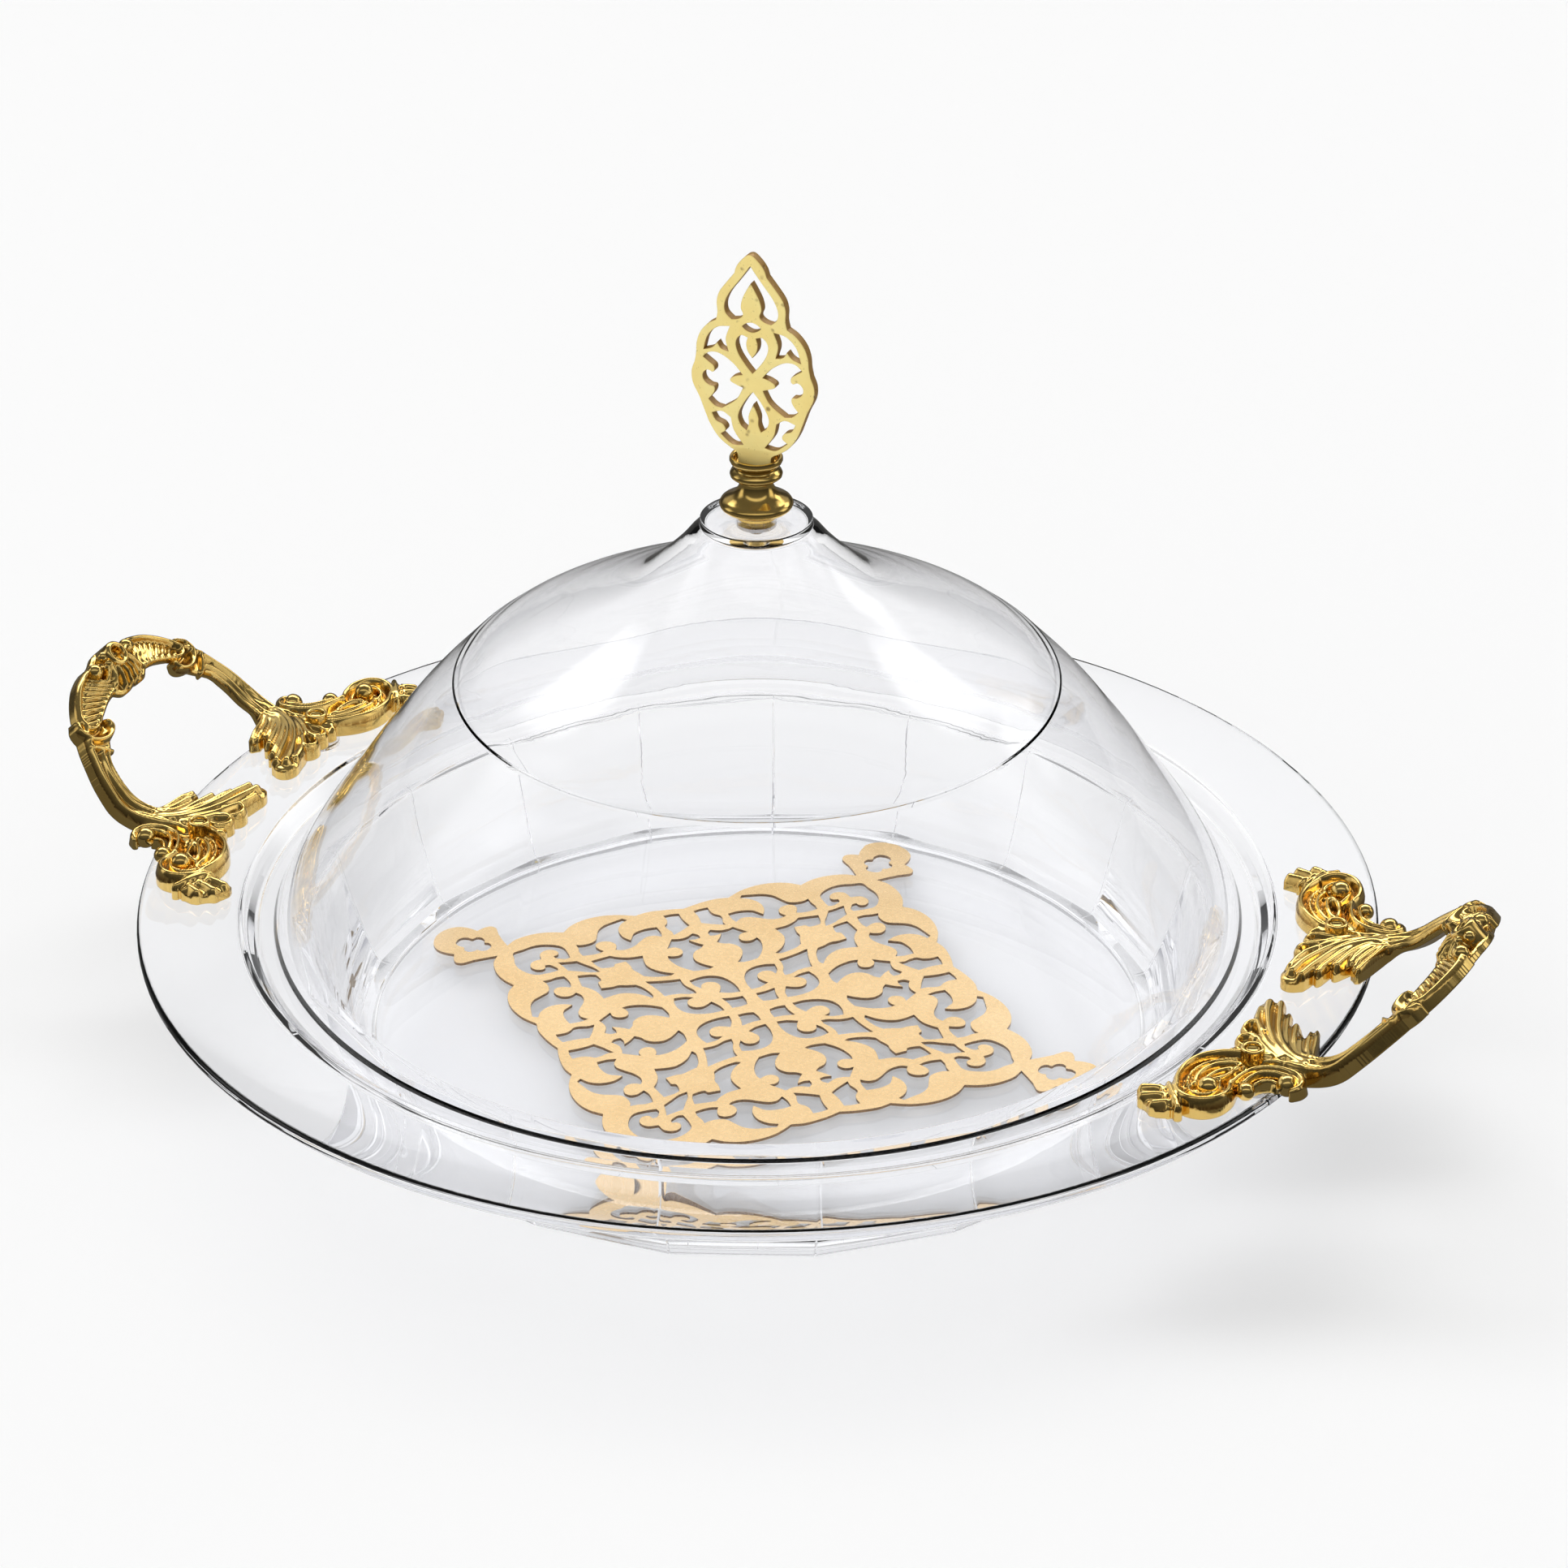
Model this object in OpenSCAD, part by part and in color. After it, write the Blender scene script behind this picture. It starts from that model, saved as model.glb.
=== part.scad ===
// Round covered serving tray: clear moulded tray and ogee dome, gilt cast
// handles and finial, and a pierced gilt sheet laid on the tray's floor.
// Frame: +Z up, X runs through both handles, origin at the middle of the foot ring.

/* [Tray] */
// Outside radius of the flat rim
rim_r = 155; // [153:0.5:162]
// Thickness of the flat rim
rim_t = 3.2; // [2.6:0.1:4]
// Height of the rim's top face above the table
rim_z = 40.5; // [38:0.5:46]
// Radius of the step where the rim drops to the dome's seat
step_r = 128.9; // [127:0.1:130]
// Depth of the dome's seat below the rim's top
seat_drop = 3.6; // [3:0.1:4.5]
// Number of flat panels around the well
panels = 19; // [12:1:24]
// Height of the floor's top face above the table
floor_z = 6; // [5:0.5:8]

/* [Dome] */
// Wall thickness of the dome
dome_t = 2.8; // [2:0.1:3.6]
// Thickness of the raised disc on the dome's top
disc_t = 1.6; // [1:0.1:2.5]

/* [Finial] */
// Thickness of the pierced leaf
leaf_t = 2.6; // [2:0.1:3.2]
// Lean of the leaf in its own plane, in degrees
leaf_lean = 1; // [0:0.5:2]

/* [Lattice] */
// Thickness of the pierced sheet
sheet_t = 0.8; // [0.6:0.1:1.5]
// Steps along each curve of the pierced work
curve_steps = 1; // [1:1:3]

/* [Handles] */
// Distance of the handle screws from the tray's middle, along X
screw_x = 141.3; // [140.5:0.1:142]
// Distance of the handle screws from the middle plane, along Y
screw_y = 32; // [31.5:0.1:32.5]
// Radius of the handle screws
screw_r = 1.85; // [1.5:0.05:1.9]
// Where the foot starts to bend up into the bow
bend_u = 153; // [152.5:0.1:153.5]
// Radius of the bend, on the underside
bend_r = 19.2; // [18:0.1:21]
// Angle of the bow above the rim
bow_a = 46; // [42:0.5:48]

/* [Hidden] */

clear = [0.86, 0.88, 0.91, 0.45];
gold = [0.78, 0.61, 0.25];
pale = [0.93, 0.82, 0.55];
steel = [0.72, 0.72, 0.74];

seat_z = rim_z - seat_drop;
disc_z = seat_z + 107.6;   // top of the dome's raised disc
leaf_z = rim_z + 121;      // where the leaf leaves the cup of its pedestal
bore_r = 1.9;

// ---- curves ----------------------------------------------------------------
// A point [x, y] lies on a smooth curve; [x, y, 1] is a sharp corner.
function at(p) = [p[0], p[1]];
function sharp(p) = len(p) == 3 && p[2] == 1;
function unit(v) = v / max(norm(v), 1e-9);
function herm(a, b, ma, mb, t) =
    (2*t*t*t - 3*t*t + 1) * a + (t*t*t - 2*t*t + t) * ma
    + (3*t*t - 2*t*t*t) * b + (t*t*t - t*t) * mb;
function way(p, i, out) = let (n = len(p), a = at(p[(i + n - 1) % n]), b = at(p[i]),
                               c = at(p[(i + 1) % n]))
    sharp(p[i]) ? (out ? unit(c - b) : unit(b - a)) : unit(c - a);
function loop(p, n) = [for (i = [0:len(p) - 1]) let (j = (i + 1) % len(p),
        a = at(p[i]), b = at(p[j]), l = norm(b - a))
    for (k = [0:n - 1]) herm(a, b, way(p, i, true) * l, way(p, j, false) * l, k / n)];
function flip(p) = concat([-p[0], p[1]], sharp(p) ? [1] : []);
function swap(p) = concat([p[1], p[0]], sharp(p) ? [1] : []);
// Right half of an outline, from the axis and back to it, made whole.
function whole(h) = concat(h, [for (i = [len(h) - 1:-1:0]) if (abs(h[i][0]) > 0.001) flip(h[i])]);

// A band along points [u, v, width], with round ends.
function band_way(p, i) = unit(at(p[min(i + 1, len(p) - 1)]) - at(p[max(i - 1, 0)]));
function band_pts(p, n) = concat([for (i = [0:len(p) - 2]) let (a = p[i], b = p[i + 1],
        l = norm(at(b) - at(a)))
    for (k = [0:n - 1]) let (t = k / n,
        q = herm(at(a), at(b), band_way(p, i) * l, band_way(p, i + 1) * l, t))
        [q[0], q[1], a[2] + (b[2] - a[2]) * t]], [p[len(p) - 1]]);
module band(path, n = 2) {
    p = band_pts(path, n);
    polygon(concat(
        [for (i = [0:len(p) - 1]) at(p[i]) + [-band_way(p, i)[1], band_way(p, i)[0]] * p[i][2] / 2],
        [for (i = [len(p) - 1:-1:0]) at(p[i]) - [-band_way(p, i)[1], band_way(p, i)[0]] * p[i][2] / 2]));
    for (q = [p[0], p[len(p) - 1]]) translate(at(q)) circle(d = q[2] * 0.98, $fn = 10);
}

// ---- tray --------------------------------------------------------------------
function bez(a, b, c, d, n) = [for (k = [0:n]) let (t = k / n, s = 1 - t)
    s*s*s*a + 3*s*s*t*b + 3*s*t*t*c + t*t*t*d];

// Outside of the well, one plane above another on each panel: [corner radius, height]
drum = [[104.47, -1], [106.6, 3], [110, 16], [116.82, seat_z + 1]];
module panel_drum() {
    c = cos(180 / panels);
    difference() {
        cylinder(r = 119, h = seat_z - 1, $fn = 180);
        for (k = [0:panels - 1]) rotate([90, 0, 360 * (k + 0.5) / panels - 2.4])
            translate([0, 0, -26]) linear_extrude(height = 52)
                polygon(concat([for (d = drum) [d[0] * c, d[1]]], [[130, seat_z + 1], [130, -1]]));
    }
}

module tray_base() {
    color(clear) difference() {
        union() {
            // rim, step and the dome's seat
            rotate_extrude($fn = 180) polygon([[0, seat_z], [124.5, seat_z], [step_r, rim_z],
                [rim_r - 0.8, rim_z], [rim_r, rim_z - 0.8], [rim_r, rim_z - rim_t + 0.8],
                [rim_r - 0.8, rim_z - rim_t], [130, rim_z - rim_t], [127.4, seat_z - 3.2],
                [0, seat_z - 3.2]]);
            // panelled outside of the well, down to the foot ring
            panel_drum();
        }
        // smooth inside of the well
        rotate_extrude($fn = 180) polygon(concat([[0, floor_z], [90, floor_z]],
            bez([95.3, floor_z], [104.5, floor_z], [108, 20], [111.6, seat_z], 14),
            [[111.6, seat_z + 5], [0, seat_z + 5]]));
        // recess inside the foot ring
        rotate_extrude($fn = 180) polygon([[0, -1], [99, -1], [99, 1.4], [97.4, 3], [0, 3]]);
        for (sx = [-1, 1], sy = [-1, 1]) translate([sx * screw_x, sy * screw_y, rim_z - rim_t - 1])
            cylinder(r = 2.25, h = rim_t + 2, $fn = 48);
    }
}

// ---- dome --------------------------------------------------------------------
// Outside of the bell: [radius, height above the seat]
bell = [[121.4, 0], [118.8, 5.3], [115.6, 11], [112, 16.5], [108.1, 22.1], [104.1, 27.7],
        [100.2, 33.2], [96.2, 38.9], [92, 44.4], [87.7, 50], [82.9, 55.6], [77.8, 61],
        [74.4, 64.6], [67.8, 69.6], [58.1, 74.8], [48.4, 79.4], [38.8, 84.2], [31, 89],
        [24.2, 94.7], [19.4, 99.5], [15.6, 104.2]];
function skin(p, t) = [for (i = [0:len(p) - 1]) let (w = band_way(p, i)) p[i] - [w[1], -w[0]] * t];

module dome_cover() {
    in_skin = skin(bell, dome_t);
    top = disc_z - seat_z;
    color(clear) translate([0, 0, seat_z]) difference() {
        rotate_extrude($fn = 180) polygon(concat(
            [[118.5, 0]], bell, [[13.7, 105.6], [13.7, top - 0.3], [13.4, top], [0, top], [0, top - disc_t - 1.6],
             [12.2, top - disc_t - 1.6]],
            [for (i = [len(in_skin) - 1:-1:1]) in_skin[i]]));
        translate([0, 0, 90]) cylinder(r = 2.1, h = 40, $fn = 48);
    }
}

// ---- finial ------------------------------------------------------------------
module finial_base() {
    z = disc_z;
    color(gold) difference() {
        rotate_extrude($fn = 96) polygon([[0, z], [5.1, z], [5.2, z + 1.4], [6.8, z + 2.0],
            [8.6, z + 3.0], [9.0, z + 3.9], [8.5, z + 4.7], [6.8, z + 5.6], [5.2, z + 6.8],
            [4.2, z + 8.2], [3.9, z + 9.6], [4.3, z + 10.5], [5.9, z + 10.9], [6.4, z + 11.6],
            [6.2, z + 12.4], [4.9, z + 12.9], [5.0, z + 13.6], [6.2, z + 14.6], [6.5, z + 15.6],
            [6.2, z + 16.3], [0, z + 16.3]]);
        translate([0, 0, z - 1]) cylinder(r = 1.6, h = 10.5, $fn = 48);
        // mouth that holds the leaf's foot
        translate([-4.6, -leaf_t / 2 - 0.05, z + 13.3]) cube([9.2, leaf_t + 0.1, 6]);
    }
}

// Right half of the leaf's outline: [x, height above the rim's top]
leaf_out = [[0, 121], [4.5, 121, 1], [5.9, 121.6], [9, 123.8], [11.3, 127], [12.8, 130.6], [14, 133.8],
            [15.7, 137.4], [15.9, 140.4], [15, 143, 1], [14.6, 145.2], [14.4, 147.8], [13.4, 150.6],
            [11.3, 153.1], [9.2, 154.4, 1], [8.8, 156.4], [8.9, 159.2], [8.2, 161.6], [6.2, 164.4],
            [4.2, 166.9, 1], [3.6, 168.7], [2, 170.8], [0, 172.1]];
leaf_ring = [[0, 169.2, 1], [1.4, 167.2], [3.5, 164.4], [5.6, 161.6], [6.8, 158.8], [6.6, 156.6],
             [5.1, 155.1, 1], [3.4, 155.5], [2.2, 156.6], [2.7, 158.4], [2.3, 160.6], [1.2, 162.9],
             [0, 164.9, 1]];
leaf_lens = [[0, 152.5], [1.6, 153, 0], [2.4, 153.7, 1], [1.4, 154.5], [0, 154.9]];
leaf_heart = [[0, 141.9, 1], [1.8, 144], [3.6, 146.8], [4.1, 149.5], [2.8, 151.3], [1.1, 151, 1],
              [1.5, 149.4], [1.2, 147.6], [0, 145.8, 1]];
leaf_ogive = [[0, 137.1, 1], [2, 134.6], [3.9, 130.7], [3.4, 128.3], [1.9, 127, 1], [1.3, 128.7],
              [1.3, 130.8], [0, 134, 1]];
leaf_side = [
    [[5.7, 153.2, 1], [8.9, 152.5], [11.4, 150], [12.6, 146.3, 1], [10.3, 147.2], [9, 148.7, 1],
     [8, 147.2], [6.1, 146.7, 1], [6.8, 149.8]],
    [[12.8, 144.4, 1], [11, 145.8], [8.4, 145.8], [5, 143.8], [2.6, 141.2, 1], [4.6, 140.6], [5.9, 139.4],
     [4.4, 138.4], [2.6, 137.8, 1], [4.4, 134.6], [8.2, 131.8, 1], [10, 132.2], [11.6, 133.6, 1],
     [10.2, 135.4], [10, 137], [11.3, 137.3], [12.7, 138.4], [12.9, 140], [11.7, 141.1], [10.2, 140.8],
     [9.9, 142.2], [11.2, 143.3]],
    [[10.8, 130.2, 1], [8.2, 130.9], [6, 129.7, 1], [5.2, 126.4], [2.8, 123, 1], [5.6, 122.8],
     [8.6, 125, 1], [7.3, 126.2], [8, 127.6], [9.8, 128.4]]];

module finial_plate() {
    color(pale) translate([0, 0, rim_z]) rotate([90, 0, 0]) translate([0, 0, -leaf_t / 2])
        linear_extrude(height = leaf_t) offset(delta = 0.01)
            translate([0, 121]) rotate(leaf_lean) translate([0, -121]) difference() {
                union() {
                    polygon(loop(whole(leaf_out), 3));
                    translate([-4.4, 117.6]) square([8.8, 4.4]);
                }
                for (h = [leaf_ring, leaf_lens, leaf_heart, leaf_ogive]) polygon(loop(whole(h), 3));
                for (s = [0, 1], h = leaf_side) mirror([s, 0]) polygon(loop(h, 3));
            }
}

module finial_washer() {
    color(steel) translate([0, 0, disc_z - disc_t - 1.6 - 1]) difference() {
        cylinder(r = 5, h = 1, $fn = 64);
        translate([0, 0, -1]) cylinder(r = 1.9, h = 3, $fn = 48);
    }
}

module finial_screw() {
    z = disc_z - disc_t - 2.6;
    color(steel) difference() {
        union() {
            rotate_extrude($fn = 64) polygon([[0, z - 2], [2, z - 2], [2.7, z - 1.5], [3, z - 0.8], [3, z], [0, z]]);
            translate([0, 0, z - 1]) cylinder(r = 1.5, h = 12, $fn = 48);
        }
        for (a = [0, 90]) rotate([0, 0, a]) translate([-1.7, -0.4, z - 3]) cube([3.4, 0.8, 2]);
    }
}

// ---- pierced sheet on the floor ------------------------------------------------
// One eighth of the border, from the tip on the axis to the diagonal.
edge_8 = [[0, 91.3], [4, 90.3], [6.3, 88.2], [6.9, 85.5], [6.6, 83, 1], [8.8, 82], [10, 80.8],
          [9.9, 79.3], [8.6, 78.1], [7.2, 77.1, 1], [4.8, 74.6], [2.9, 72.4, 1], [6, 71.9], [9, 70.2],
          [11.6, 67.8], [13.4, 65], [14.6, 61.9, 1], [18.3, 61.6], [22, 60], [25.3, 57.2], [27.8, 53.6],
          [28.9, 50.8], [29.6, 48.2, 1], [32.5, 46.3], [35.3, 43], [37, 40.4], [38.2, 38.2, 1]];
edge_4 = concat(edge_8, [for (i = [len(edge_8) - 2:-1:1]) swap(edge_8[i])]);
function quarter(p, k) = let (c = [1, 0, -1, 0][k], s = [0, -1, 0, 1][k])
    concat([c * p[0] - s * p[1], s * p[0] + c * p[1]], sharp(p) ? [1] : []);
edge = [for (k = [0:3]) for (p = edge_4) quarter(p, k)];

// Openings that lie on an axis, right half
mid_holes = [
    [[0, 85.4], [1.6, 85], [2.4, 83.6], [2.4, 82.3], [3.6, 81.6], [3.9, 80.2], [3, 79], [2.1, 78.6],
     [2.2, 77.4], [1.4, 76.3], [0, 76]],
    [[0, 69.2], [2.4, 67.8], [4.9, 66.3], [6.6, 64.4], [7.6, 62], [7.9, 60], [7.5, 58.4], [6.3, 57],
     [4.8, 55.6], [3.6, 54.7, 1], [2.6, 55.3], [2.1, 56.6], [1.9, 58], [2.6, 58.9, 1], [3.6, 58.3],
     [4.6, 58.5], [5.3, 59.5], [5.3, 60.8], [4.7, 61.9], [3.5, 62.6], [2, 62.6], [0, 61.2, 1]],
    [[0, 44.4, 1], [1.2, 46.5], [1.9, 49.5], [2.6, 52.3, 1], [1.3, 54.2], [0, 56.4, 1]],
    [[0, 17.2, 1], [1.2, 18.7], [2, 20.8], [3.2, 22.6], [4.7, 24, 1], [3.2, 26], [1.6, 28.6], [0, 31.6, 1]],
    [[0, 3.1, 1], [1.7, 4.2], [3.2, 5.8, 1], [1.5, 7.7], [0, 10.2, 1]]];
// Openings of one eighth, clear of the axis and the diagonal
side_holes = [
    [[10, 56, 1], [10.7, 54.5], [12.4, 53], [14.2, 52.4], [16.6, 53.1], [19.2, 53.9], [21.8, 53.6],
     [24.3, 52.3], [26.9, 50.7, 1], [26.7, 49.2, 1], [24.2, 49.8], [21.8, 49.4], [20, 48.3], [18.7, 46.8],
     [18, 45.2], [17.7, 43.9, 1], [19.4, 44.3], [21, 44.6], [22.7, 44], [24.6, 42.6], [26.3, 40.5, 1],
     [24.4, 38.4], [22.5, 37.2, 1], [22.1, 39.4], [20.7, 40.8], [18.4, 41.4], [15.6, 41.8], [13.6, 42.7],
     [12.3, 44.1], [11.9, 45.6, 1], [13.2, 45.9], [14.4, 46.7], [15, 48.2], [14.7, 49.8], [13.6, 51.1],
     [12.1, 51.4], [11, 50.6], [10.4, 49.4], [10, 48, 1], [8.4, 48.8], [6.8, 50.4], [5.7, 52, 1],
     [7, 53.6], [8.7, 54.7]],
    [[4.1, 48.9, 1], [6.1, 47.4], [8.4, 45.6, 1], [8.6, 43.4], [9.5, 40.8], [11.8, 37.8, 1], [9.7, 36.5],
     [7.9, 35], [6.9, 33.2], [6.4, 31.3], [6.3, 29.3], [6.7, 26.5, 1], [5.5, 26.9], [4.1, 28.7], [2.9, 31],
     [2.4, 33.2, 1], [3.4, 35], [4.4, 37.2], [5.8, 38.4], [7.4, 40.6, 1], [6, 41.8], [5, 42.6], [3.9, 42.3],
     [2.8, 43.3], [1.8, 44.8, 1], [2.4, 46.4]],
    [[5, 7.2, 1], [3.4, 9.3], [2.5, 12, 1], [4.2, 12.4], [5.9, 13.3], [6.7, 15.1], [5.9, 17], [4.2, 17.7],
     [2.5, 17, 1], [3.1, 19.2], [4.8, 21.4, 1], [7, 20.2], [9.1, 18], [9.9, 15.3], [9.2, 12.2], [7.3, 9.3]],
    [[13.9, 18.6, 1], [12.4, 19.3], [11, 20.8], [9.9, 22.4, 1], [10.1, 24.8], [10.7, 27.2], [11.8, 29.4],
     [13, 30.9], [14.2, 31.7, 1], [14.7, 30.2], [15.7, 29.1], [17, 28.8], [18.3, 29.5], [18.9, 31],
     [18.6, 32.3], [17.5, 33.4, 1], [19.6, 33.8], [22.2, 34.3, 1], [23.1, 32.6], [24.6, 31.2], [27, 30.5, 1],
     [26.9, 28.9], [25.8, 27.7, 1], [24.6, 28.5], [23.6, 30, 1], [23.1, 28], [22.9, 25.5, 1], [21.2, 25.5],
     [19.2, 26.2], [17.1, 25.9], [15.4, 24.7], [14.4, 22.8], [14, 20.6]],
    [[24.4, 34.6, 1], [25.7, 35.8], [26.6, 37.5], [27.7, 38.7], [29.4, 38.9], [31, 39.7], [32.6, 41.4, 1],
     [34, 40], [35.2, 38.2, 1], [33.4, 36.5], [32, 34.9], [30.7, 33, 1], [28, 33.5]]];

module floor_lattice() {
    color(pale) translate([0, 0, floor_z]) linear_extrude(height = sheet_t) offset(delta = 0.01)
        difference() {
            polygon(loop(edge, curve_steps));
            for (k = [0:3]) rotate(90 * k) {
                for (h = mid_holes) polygon(loop(whole(h), curve_steps));
                for (s = [0, 1], h = side_holes) mirror([s, 0]) polygon(loop(h, curve_steps));
            }
        }
}

// ---- handles -------------------------------------------------------------------
// Everything is laid out along the bent sheet: u outward, v along the rim.
fan = [[154, 33.6], [156.6, 30], [156.2, 27], [154.9, 23.5], [153.3, 18.8], [151.8, 14.8, 1], [150.7, 16.2],
       [150.2, 19.2, 1], [148.6, 16.4], [147, 13.8], [145.9, 14.3], [145.8, 16.6, 1], [144.9, 12.7],
       [143.9, 9.9], [142.9, 10.2], [142.7, 12, 1], [141.9, 8.6], [140.2, 5.9], [138, 5], [136, 5.8],
       [135, 8], [135.1, 10.6], [136.3, 12.5, 1], [135.9, 14], [136.3, 15.4], [137.2, 16.4, 1],
       [135.9, 17.4], [134.8, 19.3], [135, 21.3], [136.5, 22.9, 1], [135.5, 24.4], [135.5, 26.2],
       [136.9, 27.8, 1], [135.2, 28.7], [134.9, 30.6], [136.3, 32.4], [139, 31], [142, 34.4], [146, 34.8],
       [150, 36.4]];
fan_ribs = [
    [[155, 31.5, 3], [152.6, 28, 2.6], [151.9, 22, 2.2], [151.6, 17.4, 2]],
    [[154, 31, 3], [150, 26.5, 2.2], [148, 20.5, 2], [146.6, 15.8, 2]],
    [[152.5, 30, 3], [147.8, 24, 2.2], [145.4, 17.5, 2], [143.6, 12, 2]],
    [[154, 31.5, 5.6], [150, 28.2, 4], [146.2, 22.8, 3.2], [142.8, 16.2, 3.4], [140.2, 11, 4], [138.4, 8.4, 4.6]],
    [[150.5, 29.5, 3], [145.6, 25, 2.4], [141, 19.4, 2.2], [137.6, 15.2, 2]],
    [[149, 30, 3], [143.6, 26, 2.2], [139.2, 22.4, 2], [136.6, 19.6, 2.6]],
    [[148, 31, 3], [143, 28.4, 2], [139, 26.4, 2], [136.8, 25.6, 2]],
    [[145, 30.6, 2.4], [140.6, 28.6, 1.6], [137.2, 29.2, 1.8]]];
scroll_floor = [[138.6, 33], [142, 34], [146, 34.6], [146.5, 37.5], [143.6, 40], [142.4, 44.5], [142.6, 51],
                [140, 56.6], [135, 58.4], [130.6, 55.6], [128.4, 50.6], [128.4, 43.6], [130.6, 38], [134, 34.4]];
scroll_bands = [
    [[145, 30.4, 2.2], [141, 31.6, 2.2], [137.2, 32.4, 2.4], [133.6, 34.6, 2.6], [131, 37.3, 2.8],
     [129.1, 40.5, 2.8], [128.2, 44.6, 2.8], [128.4, 48.9, 2.8], [129.6, 52.6, 2.8]],
    [[140.4, 45.6, 2.4], [141.5, 49.4, 2.6], [141.1, 53.4, 3], [138.7, 56.7, 3.2], [135.2, 57.9, 3.2],
     [131.8, 56.8, 3], [129.4, 54, 2.8], [128.2, 50.6, 2.4]],
    [[156, 35.2, 2.8], [152, 36, 2.6], [148.4, 35.4, 2.3], [145.2, 36.3, 2.2], [142.9, 38.8, 2.2],
     [141.2, 42.4, 2.4], [140.4, 46, 2.4]],
    [[154, 37.4, 2.6], [151, 38, 2.4], [148.2, 37.6, 2], [145.4, 38.7, 2], [143.9, 41.2, 2], [143.2, 44, 2]],
    [[152, 31.6, 3.4], [147.6, 31.8, 2.6], [143.6, 32, 2.6]],
    [[136.5, 50.3, 3], [138.4, 46.4, 2.2], [139.2, 43, 1.8]]];
tassel = [[129.6, 51, 1], [132.8, 58.6, 1], [131, 60.4], [127.6, 61.6, 1], [125.8, 60.8], [124.2, 59.6, 1],
          [122.4, 58.4], [121.2, 56.4, 1], [120.6, 54.6], [120.9, 52.6, 1], [123.6, 52.2], [126.8, 51.6]];
tassel_ribs = [
    [[128.4, 53.4, 2.6], [124.8, 53.8, 2.4], [122, 54.4, 2.8]],
    [[129.4, 55.8, 2.6], [126, 56.8, 2.4], [123.2, 57.8, 2.8]],
    [[130.6, 58.2, 2.6], [128.4, 59.4, 2.4], [126.6, 60.2, 2.4]]];
collar = [[132.4, 60.2, 2.6], [130.2, 56.8, 2.8], [127.2, 51.6, 2.6]];

bow_out = [[167.6, 35.4, 1], [170, 34.8], [172.5, 33.8], [176, 31.8], [180, 30], [184, 27.8], [187, 25],
           [190, 21.8], [193, 18.4], [195.2, 15], [197, 11.4], [197.9, 8.2], [198.6, 5.4, 1], [199.6, 3], [200, 0],
           [187.2, 0], [186.8, 2.6], [187, 5.4], [188.6, 8, 1], [188.2, 11.6], [187, 15.2], [185.4, 19.2, 1],
           [183.6, 19.2], [181.6, 20], [179.4, 22], [177.6, 24.4], [176, 26.2, 1], [173, 27.8], [170.4, 28.3],
           [167.6, 28.4, 1]];
cartouche = [[187, 24.2], [190, 21.4], [193, 17.6], [194.8, 14], [195.8, 10.6], [194.6, 7.4], [192.4, 6],
             [190.8, 8.2], [190, 12.4], [188.4, 17], [186.4, 21.2]];

module on_bow() {
    translate([bend_u + bend_r * sin(bow_a), 0, bend_r * (1 - cos(bow_a))]) rotate([0, -bow_a, 0])
        translate([-(bend_u + bend_r * bow_a * PI / 180), 0, 0]) children();
}
module raised(h) { linear_extrude(height = h) offset(delta = 0.005) children(); }

module half_handle() {
    // foot
    raised(3) polygon(loop(fan, 2));
    raised(4.6) for (p = fan_ribs) band(p);
    raised(2) polygon(loop(scroll_floor, 2));
    raised(5) for (p = scroll_bands) band(p);
    raised(3.4) polygon(loop(tassel, 2));
    raised(4.4) for (p = tassel_ribs) band(p);
    raised(5) band(collar);
    translate([screw_x, screw_y, 0]) cylinder(r = 2.9, h = 6.2, $fn = 48);
    for (b = [[136.5, 50.3, 2.6, 4.2], [144.4, 45.8, 2.2, 2.2], [152.6, 39.9, 2.7, 2.4]])
        intersection() {
            translate([b[0], b[1], b[3]]) sphere(r = b[2], $fn = 32);
            translate([b[0] - 4, b[1] - 4, 0]) cube([8, 8, 9]);
        }
    // bend, up to the bow
    translate([bend_u, 0, bend_r]) rotate([90, 0, 180]) rotate([0, 0, -90]) mirror([0, 1, 0])
        rotate_extrude(angle = bow_a, $fn = 96) translate([bend_r - 4.8, 28.3])
            polygon([[0, 1.2], [1.4, 0.2], [4.8, 0], [4.8, 7.2], [2, 7.2], [0.6, 6.4], [0, 5.2]]);
    // bow with its sunk and ribbed panel
    on_bow() difference() {
        raised(5) polygon(loop(bow_out, 2));
        translate([0, 0, 3.2]) raised(3) polygon(loop(cartouche, 2));
    }
    on_bow() {
        raised(4.2) for (k = [0:8]) {
            v = 22.6 - 1.75 * k;
            u = 188.3 + 0.86 * k - 0.03 * k * k;
            band([[u + 0.7, v, 0.8], [u - 1.2, v - 2.8, 0.8]], 1);
        }
        // lip of the scroll and its collar
        raised(6) band([[189.4, 24.4, 1.6], [186.6, 25.8, 2.2], [184, 25.2, 3], [182.6, 22.6, 3], [183, 19.8, 2]]);
        raised(5.6) band([[182.4, 28.8, 1.4], [180, 26, 1.6], [178.6, 24, 1.4]]);
        translate([196, 8, 3.4]) sphere(r = 2.1, $fn = 32);
        // shell under the rosette
        raised(7.4) for (p = [[[194, 0, 4], [190.6, 0, 3.6], [188.6, 0, 2.6]],
                              [[194.4, 1.6, 3.4], [191, 3, 2.8], [188.8, 3.8, 2.2]],
                              [[195, 2.8, 3], [192, 5, 2.4], [190, 6.6, 2]]]) band(p);
    }
}

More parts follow.
